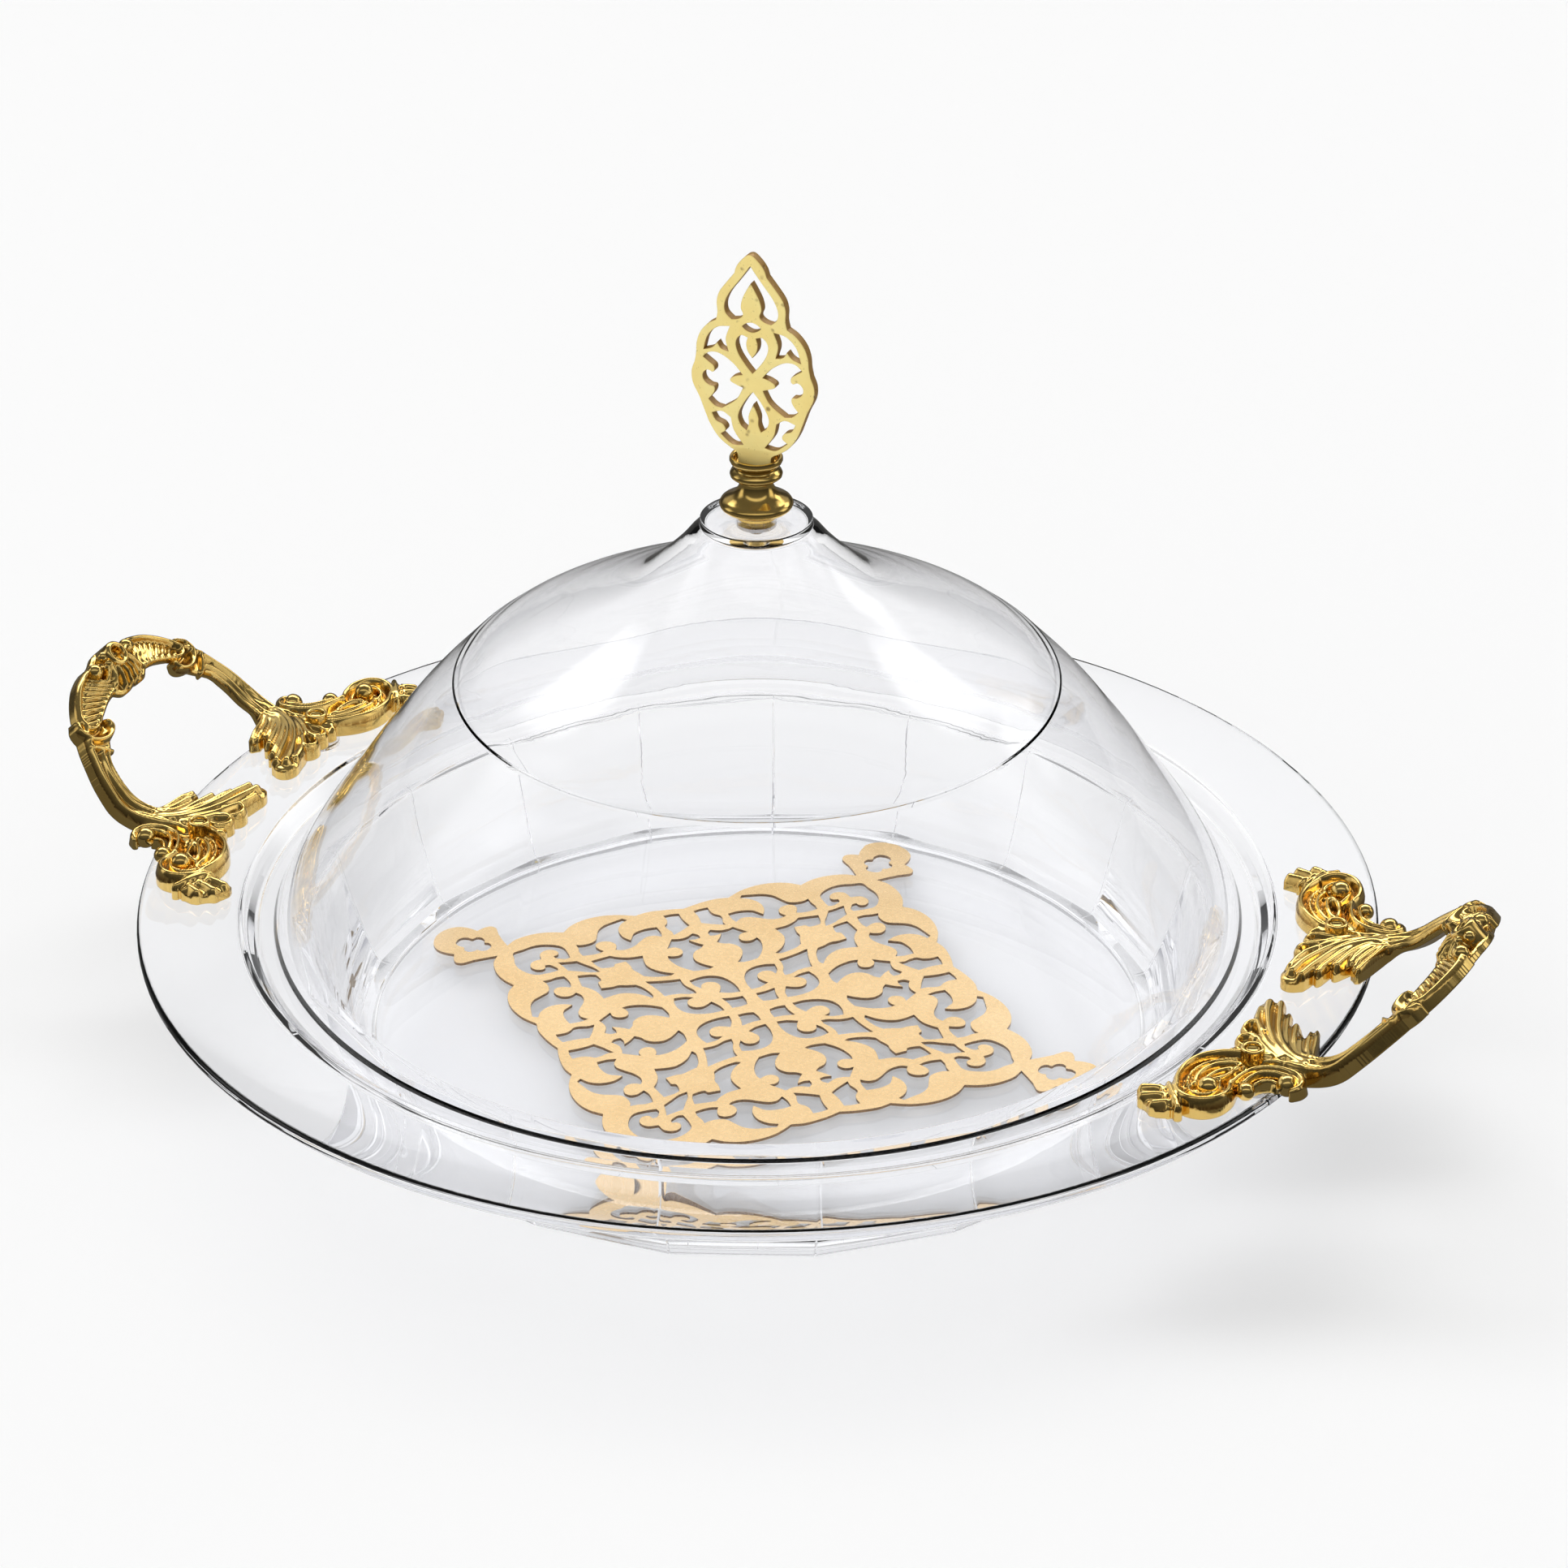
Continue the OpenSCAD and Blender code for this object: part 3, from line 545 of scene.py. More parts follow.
leaf_side = [
    [[5.7, 153.2, 1], [8.9, 152.5], [11.4, 150], [12.6, 146.3, 1], [10.3, 147.2], [9, 148.7, 1],
     [8, 147.2], [6.1, 146.7, 1], [6.8, 149.8]],
    [[12.8, 144.4, 1], [11, 145.8], [8.4, 145.8], [5, 143.8], [2.6, 141.2, 1], [4.6, 140.6], [5.9, 139.4],
     [4.4, 138.4], [2.6, 137.8, 1], [4.4, 134.6], [8.2, 131.8, 1], [10, 132.2], [11.6, 133.6, 1],
     [10.2, 135.4], [10, 137], [11.3, 137.3], [12.7, 138.4], [12.9, 140], [11.7, 141.1], [10.2, 140.8],
     [9.9, 142.2], [11.2, 143.3]],
    [[10.8, 130.2, 1], [8.2, 130.9], [6, 129.7, 1], [5.2, 126.4], [2.8, 123, 1], [5.6, 122.8],
     [8.6, 125, 1], [7.3, 126.2], [8, 127.6], [9.8, 128.4]]]


def plate(name, loops, thickness, edge, place, segments=1):
    """A flat pierced plate from closed outlines in mm, with its edges rounded by edge."""
    cu = bpy.data.curves.new(name, "CURVE")
    cu.dimensions = "2D"
    cu.fill_mode = "BOTH"
    cu.extrude = (thickness / 2 - edge) * MM
    cu.bevel_depth = edge * MM
    cu.bevel_resolution = segments
    cu.offset = -edge * MM
    for pts in loops:
        s = cu.splines.new("POLY")
        s.points.add(len(pts) - 1)
        for q, p in zip(s.points, pts):
            q.co = (p[0] * MM, p[1] * MM, 0, 1)
        s.use_cyclic_u = True
    tmp = bpy.data.objects.new(name + "_curve", cu)
    bpy.context.scene.collection.objects.link(tmp)
    bpy.context.view_layer.update()
    me = bpy.data.meshes.new_from_object(tmp.evaluated_get(bpy.context.evaluated_depsgraph_get()))
    bpy.data.objects.remove(tmp, do_unlink=True)
    me.name = name
    bm = bmesh.new()
    bm.from_mesh(me)
    bmesh.ops.remove_doubles(bm, verts=bm.verts, dist=2e-6)
    bmesh.ops.recalc_face_normals(bm, faces=bm.faces)
    place(bm)
    bm.to_mesh(me)
    bm.free()
    o = bpy.data.objects.new(name, me)
    bpy.context.scene.collection.objects.link(o)
    me.polygons.foreach_set("use_smooth", [True] * len(me.polygons))
    me.set_sharp_from_angle(angle=math.radians(40))
    return o


def lean(pts, deg=1.0, x0=0.0, y0=121.0):
    c, s = math.cos(math.radians(deg)), math.sin(math.radians(deg))
    return [(x0 + (x - x0) * c - (y - y0) * s, y0 + (x - x0) * s + (y - y0) * c) for x, y in pts]


N_LEAF = 6
tang = [[0, 117.0, 1], [4.4, 117.0, 1], [4.4, 120.4], [5.2, 121.3], [5.9, 121.6], [9, 123.8]]
leaf_edge = tang + leaf_out[4:]
leaf_loops = [lean(loop(whole(leaf_edge), N_LEAF))]
for h in (leaf_ring, leaf_lens, leaf_heart, leaf_ogive):
    leaf_loops.append(lean(loop(whole(h), N_LEAF)))
for h in leaf_side:
    leaf_loops.append(lean(loop(h, N_LEAF)))
    leaf_loops.append(lean(loop([flip(p) for p in reversed(h)], N_LEAF)))


def stand_leaf(bm):
    for v in bm.verts:
        x, y, zz = v.co
        v.co = (x, -zz, y + RIM_Z * MM)


leaf = plate("finial_leaf", leaf_loops, 2.6, 0.32, stand_leaf, 2)
dress(leaf, CAST)
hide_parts("finial_plate")

# ---------------------------------------------------------------- pierced sheet on the floor
edge_8 = [[0, 91.3], [4, 90.3], [6.3, 88.2], [6.9, 85.5], [6.6, 83, 1], [8.8, 82], [10, 80.8],
          [9.9, 79.3], [8.6, 78.1], [7.2, 77.1, 1], [4.8, 74.6], [2.9, 72.4, 1], [6, 71.9], [9, 70.2],
          [11.6, 67.8], [13.4, 65], [14.6, 61.9, 1], [18.3, 61.6], [22, 60], [25.3, 57.2], [27.8, 53.6],
          [28.9, 50.8], [29.6, 48.2, 1], [32.5, 46.3], [35.3, 43], [37, 40.4], [38.2, 38.2, 1]]
edge_4 = edge_8 + [swap(p) for p in reversed(edge_8[1:-1])]


def quarter(p, k):
    c, s = [1, 0, -1, 0][k], [0, -1, 0, 1][k]
    return [c * p[0] - s * p[1], s * p[0] + c * p[1]] + ([1] if sharp(p) else [])


border = [quarter(p, k) for k in range(4) for p in edge_4]
mid_holes = [
    [[0, 85.4], [1.6, 85], [2.4, 83.6], [2.4, 82.3], [3.6, 81.6], [3.9, 80.2], [3, 79], [2.1, 78.6],
     [2.2, 77.4], [1.4, 76.3], [0, 76]],
    [[0, 69.2], [2.4, 67.8], [4.9, 66.3], [6.6, 64.4], [7.6, 62], [7.9, 60], [7.5, 58.4], [6.3, 57],
     [4.8, 55.6], [3.6, 54.7, 1], [2.6, 55.3], [2.1, 56.6], [1.9, 58], [2.6, 58.9, 1], [3.6, 58.3],
     [4.6, 58.5], [5.3, 59.5], [5.3, 60.8], [4.7, 61.9], [3.5, 62.6], [2, 62.6], [0, 61.2, 1]],
    [[0, 44.4, 1], [1.2, 46.5], [1.9, 49.5], [2.6, 52.3, 1], [1.3, 54.2], [0, 56.4, 1]],
    [[0, 17.2, 1], [1.2, 18.7], [2, 20.8], [3.2, 22.6], [4.7, 24, 1], [3.2, 26], [1.6, 28.6], [0, 31.6, 1]],
    [[0, 3.1, 1], [1.7, 4.2], [3.2, 5.8, 1], [1.5, 7.7], [0, 10.2, 1]]]
side_holes = [
    [[10, 56, 1], [10.7, 54.5], [12.4, 53], [14.2, 52.4], [16.6, 53.1], [19.2, 53.9], [21.8, 53.6],
     [24.3, 52.3], [26.9, 50.7, 1], [26.7, 49.2, 1], [24.2, 49.8], [21.8, 49.4], [20, 48.3], [18.7, 46.8],
     [18, 45.2], [17.7, 43.9, 1], [19.4, 44.3], [21, 44.6], [22.7, 44], [24.6, 42.6], [26.3, 40.5, 1],
     [24.4, 38.4], [22.5, 37.2, 1], [22.1, 39.4], [20.7, 40.8], [18.4, 41.4], [15.6, 41.8], [13.6, 42.7],
     [12.3, 44.1], [11.9, 45.6, 1], [13.2, 45.9], [14.4, 46.7], [15, 48.2], [14.7, 49.8], [13.6, 51.1],
     [12.1, 51.4], [11, 50.6], [10.4, 49.4], [10, 48, 1], [8.4, 48.8], [6.8, 50.4], [5.7, 52, 1],
     [7, 53.6], [8.7, 54.7]],
    [[4.1, 48.9, 1], [6.1, 47.4], [8.4, 45.6, 1], [8.6, 43.4], [9.5, 40.8], [11.8, 37.8, 1], [9.7, 36.5],
     [7.9, 35], [6.9, 33.2], [6.4, 31.3], [6.3, 29.3], [6.7, 26.5, 1], [5.5, 26.9], [4.1, 28.7], [2.9, 31],
     [2.4, 33.2, 1], [3.4, 35], [4.4, 37.2], [5.8, 38.4], [7.4, 40.6, 1], [6, 41.8], [5, 42.6], [3.9, 42.3],
     [2.8, 43.3], [1.8, 44.8, 1], [2.4, 46.4]],
    [[5, 7.2, 1], [3.4, 9.3], [2.5, 12, 1], [4.2, 12.4], [5.9, 13.3], [6.7, 15.1], [5.9, 17], [4.2, 17.7],
     [2.5, 17, 1], [3.1, 19.2], [4.8, 21.4, 1], [7, 20.2], [9.1, 18], [9.9, 15.3], [9.2, 12.2], [7.3, 9.3]],
    [[13.9, 18.6, 1], [12.4, 19.3], [11, 20.8], [9.9, 22.4, 1], [10.1, 24.8], [10.7, 27.2], [11.8, 29.4],
     [13, 30.9], [14.2, 31.7, 1], [14.7, 30.2], [15.7, 29.1], [17, 28.8], [18.3, 29.5], [18.9, 31],
     [18.6, 32.3], [17.5, 33.4, 1], [19.6, 33.8], [22.2, 34.3, 1], [23.1, 32.6], [24.6, 31.2], [27, 30.5, 1],
     [26.9, 28.9], [25.8, 27.7, 1], [24.6, 28.5], [23.6, 30, 1], [23.1, 28], [22.9, 25.5, 1], [21.2, 25.5],
     [19.2, 26.2], [17.1, 25.9], [15.4, 24.7], [14.4, 22.8], [14, 20.6]],
    [[24.4, 34.6, 1], [25.7, 35.8], [26.6, 37.5], [27.7, 38.7], [29.4, 38.9], [31, 39.7], [32.6, 41.4, 1],
     [34, 40], [35.2, 38.2, 1], [33.4, 36.5], [32, 34.9], [30.7, 33, 1], [28, 33.5]]]


def turned(pts, k):
    c, s = [1, 0, -1, 0][k], [0, 1, 0, -1][k]
    return [(c * x - s * y, s * x + c * y) for x, y in pts]


N_LAT = 5
sheet_loops = [loop(border, N_LAT)]
for k in range(4):
    for h in mid_holes:
        sheet_loops.append(turned(loop(whole(h), N_LAT), k))
    for h in side_holes:
        sheet_loops.append(turned(loop(h, N_LAT), k))
        sheet_loops.append(turned(loop([flip(p) for p in reversed(h)], N_LAT), k))


def lay_sheet(bm):
    # rows across the four tips, so that they can lift where the floor starts to rise
    for d in (76.0, 79.5, 82.0, 84.0, 86.0, 87.8, 89.4, 90.6):
        for axis in ((1, 0, 0), (-1, 0, 0), (0, 1, 0), (0, -1, 0)):
            geom = bm.verts[:] + bm.edges[:] + bm.faces[:]
            bmesh.ops.bisect_plane(bm, geom=geom, dist=1e-7, plane_co=[d * MM * a for a in axis], plane_no=axis)
    for v in bm.verts:
        x, y, zz = v.co
        r = max(abs(x), abs(y)) / MM
        lift = 0.0
        if r > 76:
            lift = 0.55 * ((r - 76) / 15.3) ** 2
        v.co = (x, y, zz + (FLOOR_Z + 0.44 + lift) * MM)


sheet = plate("floor_sheet", sheet_loops, 0.8, 0.05, lay_sheet, 0)
dress(sheet, SHEET)
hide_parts("floor_lattice")

# ---------------------------------------------------------------- handles
# Laid out on the flat sheet (u outward, v along the rim, h above the rim), then bent.
GRID = 0.3

fan = [[154, 33.6], [156.6, 30], [156.2, 27], [154.9, 23.5], [153.3, 18.8], [151.8, 14.8, 1], [150.7, 16.2],
       [150.2, 19.2, 1], [148.6, 16.4], [147, 13.8], [145.9, 14.3], [145.8, 16.6, 1], [144.9, 12.7],
       [143.9, 9.9], [142.9, 10.2], [142.7, 12, 1], [141.9, 8.6], [140.2, 5.9], [138, 5], [136, 5.8],
       [135, 8], [135.1, 10.6], [136.3, 12.5, 1], [135.9, 14], [136.3, 15.4], [137.2, 16.4, 1],
       [135.9, 17.4], [134.8, 19.3], [135, 21.3], [136.5, 22.9, 1], [135.5, 24.4], [135.5, 26.2],
       [136.9, 27.8, 1], [135.2, 28.7], [134.9, 30.6], [136.3, 32.4], [139, 31], [142, 34.4], [146, 34.8],
       [150, 36.4]]
bow_out = [[152, 36.2], [156, 35.4], [160, 35.5], [164, 35.8], [168, 35.4], [172.5, 33.8], [176, 31.8],
           [180, 30], [184, 27.8], [187, 25], [190, 21.8], [193, 18.4], [195.2, 15], [197, 11.4],
           [197.9, 8.2], [198.6, 5.4, 1], [199.6, 3], [200, 0], [200, -6, 1], [187.2, -6, 1], [187.2, 0],
           [186.8, 2.6], [187, 5.4], [188.6, 8, 1], [188.2, 11.6], [187, 15.2], [185.4, 19.0, 1],
           [183.6, 19.2], [181.6, 20], [179.4, 22], [177.6, 24.4], [176, 26.2, 1], [173, 27.8], [170.4, 28.3],
           [165, 28.4], [160, 28.2], [157, 27.2], [154, 25.5], [151, 27]]
scroll_area = [[138.6, 33], [142, 34], [146, 34.6], [146.5, 37.5], [143.6, 40], [142.4, 44.5], [142.6, 51],
               [140, 56.6], [135, 58.4], [130.6, 55.6], [128.4, 50.6], [128.4, 43.6], [130.6, 38], [134, 34.4]]
tassel = [[129.6, 51.0, 1], [132.8, 58.6, 1], [131.0, 60.4], [127.6, 61.6, 1], [125.8, 60.8], [124.2, 59.6, 1],
          [122.4, 58.4], [121.2, 56.4, 1], [120.6, 54.6], [120.9, 52.6, 1], [123.6, 52.2], [126.8, 51.6]]
cartouche = [[187, 24.2], [190, 21.4], [193, 17.6], [194.8, 14], [195.8, 10.6], [194.6, 7.4], [192.4, 6],
             [190.8, 8.2], [190, 12.4], [188.4, 17], [186.4, 21.2]]
# sunk floors: outline, level
hollows = [
    ([[140.6, 36.6], [141.2, 41], [139.4, 45.4], [137, 47], [133.4, 48.2], [131, 48.6], [129.8, 44.6],
      [130.6, 40.6], [133, 37], [136.6, 35]], 1.3),
    (cartouche, None),
    ([[188.4, 25.4], [186.8, 26.0], [184.9, 25.2], [183.8, 22.8], [183.9, 20.4], [184.9, 19.4], [184.6, 21.6], [185.0, 24.0], [186.6, 25.2]], 2.2),
    ([[138.9, 21.2], [137.4, 19.6], [136.1, 19.8], [136.2, 21.4], [137.6, 22.4]], 2.6),
    ([[140.4, 27.4], [138, 25.2], [136.4, 25.2], [136.6, 26.8], [138.4, 28]], 2.6),
    ([[147.6, 33.4], [144.8, 33.3], [142.6, 34.6], [143, 35.6], [146, 34.9]], 2.2)]

# strands: [u, v, width, crest height]
strands = [
    # fan
    [[156.0, 29.0, 2.2, 4.6], [154.6, 25.6, 1.9, 4.7], [153.2, 20, 1.7, 4.9], [152.1, 15.9, 1.4, 4.4]],
    [[154.6, 28.6, 2.0, 4.6], [152.6, 25.0, 1.8, 4.8], [151.3, 20, 1.7, 4.9], [150.8, 16.9, 1.4, 4.3]],
    [[153.6, 29.2, 2.0, 4.4], [151.2, 26.0, 1.7, 4.5], [149.8, 21.8, 1.5, 4.4], [149.4, 19.4, 1.3, 4.0]],
    [[152.6, 29.8, 2.0, 4.5], [149.8, 26.0, 1.9, 4.7], [148.0, 21.0, 1.9, 5.0], [146.7, 15.6, 2.1, 4.8]],
    [[151.6, 30.2, 2.0, 4.5], [148.2, 26.0, 1.8, 4.7], [145.9, 20.6, 1.8, 4.9], [144.2, 14.6, 1.7, 4.9], [143.5, 11.3, 1.7, 4.5]],
    [[155.0, 31.2, 2.6, 4.8], [150.4, 29.2, 2.4, 5.0], [146.6, 25.4, 2.2, 5.2], [143.6, 19.4, 2.2, 5.4], [141.6, 12.6, 2.4, 5.5], [140.2, 7.4, 2.3, 5.2]],
    [[154.0, 32.4, 2.4, 4.8], [149.0, 29.8, 2.2, 5.0], [144.8, 25.8, 2.0, 5.2], [141.4, 20.0, 2.1, 5.4], [138.9, 13.6, 2.5, 5.6], [137.6, 8.2, 2.8, 5.4]],
    [[148.2, 30.6, 1.8, 4.6], [143.4, 26.4, 1.7, 4.9], [139.8, 21.6, 1.8, 5.1], [137.2, 16.2, 2.0, 5.1], [136.2, 11.0, 1.8, 4.8]],
    [[147.2, 31.2, 1.7, 4.4], [142.6, 27.6, 1.6, 4.8], [139.2, 23.8, 1.5, 4.9], [136.9, 22.9, 1.2, 4.5], [135.5, 21.4, 1.4, 4.6], [135.4, 19.2, 1.5, 4.7],
     [136.6, 17.7, 1.5, 4.9], [138.4, 18.8, 1.5, 5.0], [140.2, 21.2, 1.6, 5.0]],
    [[144.6, 30.0, 1.6, 4.4], [141.0, 28.8, 1.5, 4.6], [137.8, 28.6, 1.3, 4.4], [135.9, 27.0, 1.3, 4.4], [135.9, 24.8, 1.3, 4.5],
     [137.6, 23.9, 1.4, 4.6], [139.6, 25.2, 1.4, 4.7]],
    [[138.8, 30.6, 2.0, 4.2], [136.8, 31.4, 2.0, 4.0], [135.6, 30.4, 1.6, 3.6]],
    # scroll: rim, its inner line, the loop and the strands
    [[145, 30.8, 2.0, 4.4], [141, 31.8, 2.0, 4.6], [137.2, 32.6, 2.2, 4.9], [133.8, 34.7, 2.3, 5.2], [131, 37.5, 2.4, 5.4],
     [129.2, 40.7, 2.4, 5.4], [128.3, 44.7, 2.4, 5.4], [128.5, 48.9, 2.4, 5.4], [129.7, 52.4, 2.2, 5.2]],
    [[138.4, 34.2, 1.1, 3.8], [135.2, 36.2, 1.1, 4.2], [132.7, 39, 1.1, 4.4], [131.1, 42.2, 1.1, 4.5], [130.5, 45.8, 1.1, 4.5], [131.1, 49.4, 1.1, 4.4]],
    [[140.4, 45.6, 2.0, 4.6], [141.3, 49.4, 2.3, 5.0], [140.6, 53.4, 2.6, 5.4], [138.1, 56.4, 2.7, 5.6], [134.9, 57.2, 2.7, 5.6],
     [131.8, 56.0, 2.6, 5.5], [129.8, 53.4, 2.4, 5.3], [129.0, 50.8, 2.0, 5.0]],
    [[137.9, 45.6, 1.2, 4.2], [138.8, 49.0, 1.4, 4.6], [138.2, 52.4, 1.5, 4.9], [136.2, 54.0, 1.5, 5.0], [133.8, 53.6, 1.4, 4.8],
     [132.2, 51.6, 1.3, 4.4], [132.4, 49.0, 1.1, 4.0]],
    [[154.6, 42.0, 1.7, 3.4], [156.2, 40.6, 1.9, 3.7], [156.4, 38.6, 2.1, 4.0], [155.0, 36.6, 2.2, 4.3], [152.2, 35.6, 2.2, 4.6], [149.0, 35.6, 2.1, 4.8], [145.9, 36.7, 2.0, 4.9], [143.4, 39.0, 1.9, 5.0],
     [141.8, 42.4, 1.9, 5.0], [140.8, 46, 1.9, 4.8]],
    [[154.4, 40.4, 1.6, 3.4], [154.6, 39.0, 1.8, 3.8], [153.2, 37.8, 2.0, 4.3], [150.8, 37.6, 1.9, 4.6], [148.2, 37.9, 1.9, 4.7], [145.8, 39.3, 1.8, 4.9], [144.2, 41.8, 1.8, 4.8], [143.2, 44.6, 1.8, 4.4]],
    [[150.4, 40.0, 1.2, 3.2], [148.4, 40.0, 1.1, 3.6], [146.8, 41.0, 1.1, 3.7], [145.4, 43.2, 1.2, 3.4]],
    [[140.2, 35.6, 1.4, 3.4], [139.4, 38.6, 1.6, 3.9], [138.8, 42.0, 1.7, 4.3], [137.4, 45.0, 1.8, 4.6], [135.4, 46.8, 1.6, 4.6]],
    [[151.4, 32.8, 2.2, 4.6], [147.6, 32.4, 1.7, 4.5], [144.4, 33.0, 1.4, 4.2]],
    # collar and tassel
    [[132.6, 60.2, 2.3, 4.4], [130.6, 57.2, 2.3, 5.0], [128.6, 54.0, 2.3, 5.0], [127.2, 51.4, 2.0, 4.4]],
    [[130.4, 60.4, 1.3, 3.6], [128.4, 57.4, 1.3, 4.3], [126.6, 54.2, 1.3, 4.3], [125.2, 51.8, 1.3, 3.6]],
    [[128.4, 53.4, 2.5, 3.8], [124.8, 53.8, 2.5, 4.2], [122.0, 54.4, 2.8, 4.0]],
    [[129.4, 55.8, 2.5, 3.8], [126.0, 56.8, 2.5, 4.3], [123.2, 57.8, 2.8, 4.1]],
    [[130.6, 58.2, 2.4, 3.8], [128.4, 59.4, 2.4, 4.2], [126.6, 60.2, 2.6, 4.0]],
    # reeds of the bow
    [[151.6, 27.4, 1.9, 4.2], [155.0, 27.9, 1.7, 4.5], [160, 28.9, 1.6, 4.8], [165, 29.1, 1.6, 4.8], [169.5, 28.9, 1.6, 4.8],
     [173, 28.2, 1.6, 4.8], [176.4, 26.9, 1.6, 4.8], [178.6, 24.8, 1.5, 4.6]],
    [[152.4, 29.6, 2.0, 4.7], [156.4, 30.0, 2.2, 4.9], [160.6, 30.7, 2.3, 5.0], [165, 31.0, 2.3, 5.0], [169.5, 30.8, 2.3, 5.0],
     [173.6, 30.0, 2.3, 5.0], [177.2, 28.4, 2.3, 5.0], [180, 26.4, 2.0, 4.8]],
    [[154, 31.6, 2.2, 4.8], [158, 32.4, 2.2, 4.8], [162, 32.9, 0.9, 4.2], [168, 32.9, 0.9, 4.4], [173, 31.9, 0.9, 4.4], [178, 29.7, 0.8, 4.3]],
    [[160, 33.6, 0.9, 4.4], [164, 33.7, 0.9, 4.5], [168, 33.5, 0.9, 4.5], [173, 32.4, 0.9, 4.5], [178, 30.2, 0.8, 4.4], [182, 28.3, 0.8, 4.2]],
    [[150.0, 32.8, 2.2, 4.6], [154, 33.2, 2.4, 4.9], [158, 34.0, 2.4, 5.0], [162, 34.6, 2.2, 5.0], [166, 34.7, 2.2, 5.0], [170, 34.0, 2.2, 5.0],
     [174, 32.8, 2.2, 5.0], [178, 31.0, 2.2, 5.0], [182, 29.0, 2.2, 5.0], [185, 26.9, 2.2, 4.9], [188, 24.1, 2.0, 4.6]],
    # rim of the ribbed panel, its inner rail and the lip
    [[197.5, 10.0, 1.7, 4.3], [196.8, 12.8, 1.9, 3.9], [195.4, 16.4, 2.0, 3.8], [193.0, 20.0, 2.1, 3.8], [190.5, 22.8, 2.1, 3.9],
     [188.6, 24.2, 2.1, 4.3], [186.9, 24.5, 2.0, 4.8], [185.5, 23.3, 1.8, 5.3], [185.3, 21.2, 1.5, 5.4]],
    [[185.6, 19.8, 1.3, 4.9], [186.9, 17.2, 1.2, 4.9], [188.2, 14.0, 1.1, 4.9], [189.3, 10.6, 1.1, 4.9], [190.0, 7.4, 1.1, 4.9], [190.9, 5.2, 1.1, 4.9]],
    [[189.2, 25.8, 1.4, 4.2], [187.2, 27.4, 1.8, 4.8], [184.7, 27.2, 2.1, 5.3], [182.7, 25.3, 2.3, 5.6], [181.7, 22.7, 2.3, 5.9], [181.8, 20.0, 2.3, 6.0],
     [183.0, 18.0, 2.3, 6.0], [184.8, 17.7, 1.8, 5.8]],
    [[182.6, 28.9, 1.4, 5.2], [180.7, 27.0, 1.7, 5.5], [179.0, 24.9, 1.7, 5.5], [178.0, 23.6, 1.5, 5.2]],
    [[196.8, 7.4, 1.5, 5.6], [195.6, 4.8, 1.5, 5.8], [193.8, 3.2, 1.5, 5.8], [192.4, 3.6, 1.3, 5.4], [191.6, 5.2, 1.2, 5.0]],
    # shell under the rosette
    [[195.6, -1.0, 1.8, 7.2], [191.6, -1.0, 2.1, 7.4], [188.4, -1.0, 2.2, 6.4]],
    [[195.6, 1.0, 1.8, 7.2], [191.6, 1.0, 2.1, 7.4], [188.4, 1.1, 2.2, 6.4]],
    [[195.8, 2.0, 1.7, 7.0], [192.2, 2.9, 2.0, 7.2], [188.6, 3.7, 2.2, 6.2]],
    [[196.0, 2.8, 1.6, 6.8], [193.2, 4.4, 1.9, 6.9], [190.2, 6.2, 2.1, 5.9]],
    [[196.4, 3.6, 1.4, 6.4], [194.6, 5.0, 1.6, 6.4], [193.0, 6.4, 1.6, 5.6]]]
ribs = [([187.2, 23.0], [186.3, 20.4]), ([188.8, 21.8], [187.3, 18.2]), ([190.3, 20.3], [188.2, 16]),
        ([191.6, 18.6], [189.0, 14]), ([192.8, 16.8], [189.6, 12]), ([193.7, 15.1], [190.1, 10.2]),
        ([194.4, 13.4], [190.5, 8.6]), ([194.9, 11.7], [191.0, 7.2]), ([195.2, 10.2], [191.8, 6.2])]
strands += [[[*a, 1.15, 3.5], [(a[0] + b[0]) / 2, (a[1] + b[1]) / 2, 1.2, 4.4], [*b, 1.15, 5.0]] for a, b in ribs]
# blades of the leaf in the scroll's hollow, along its rim
strands += [[[139.8, 35.4, 1.7, 3.6], [137.0, 37.0, 2.0, 4.2], [134.6, 39.4, 2.1, 4.5], [133.0, 42.4, 2.1, 4.6], [132.3, 45.8, 2.0, 4.5], [132.8, 49.2, 1.8, 4.2]],
            [[140.0, 37.6, 1.6, 3.4], [137.8, 39.2, 1.9, 3.9], [136.0, 41.6, 2.0, 4.2], [134.8, 44.4, 1.9, 4.2], [134.2, 47.2, 1.6, 4.0]]]
for k in range(11):
    strands[k] = [[a, b, w * 1.18, h] for a, b, w, h in strands[k]]
# the inner edge of the bow, where its underside is hollowed so that the edge is thin
inner_edge = [(152, 27), (154, 25.5), (157, 27.2), (160, 28.2), (165, 28.4), (170.4, 28.3), (173, 27.8), (176, 26.2), (177.6, 24.4),
              (179.4, 22), (181.6, 20), (183.6, 19.2), (185.4, 19), (187, 15.2), (188.2, 11.6), (188.6, 8), (187, 5.4), (186.8, 2.6), (187.2, 0)]


def from_inner(u, v):
    d2 = np.full(np.shape(u), 1e9)
    for (ax, ay), (bx, by) in zip(inner_edge[:-1], inner_edge[1:]):
        ex, ey = bx - ax, by - ay
        t = np.clip(((u - ax) * ex + (v - ay) * ey) / (ex * ex + ey * ey), 0, 1)
        d2 = np.minimum(d2, (u - ax - t * ex) ** 2 + (v - ay - t * ey) ** 2)
    return np.sqrt(d2)


def underside(u, v):
    t = np.clip((u - 155) / 6, 0, 1)
    return t * t * (3 - 2 * t) * np.maximum(0, 2.5 * (1 - from_inner(u, np.abs(v)) / 5.5))


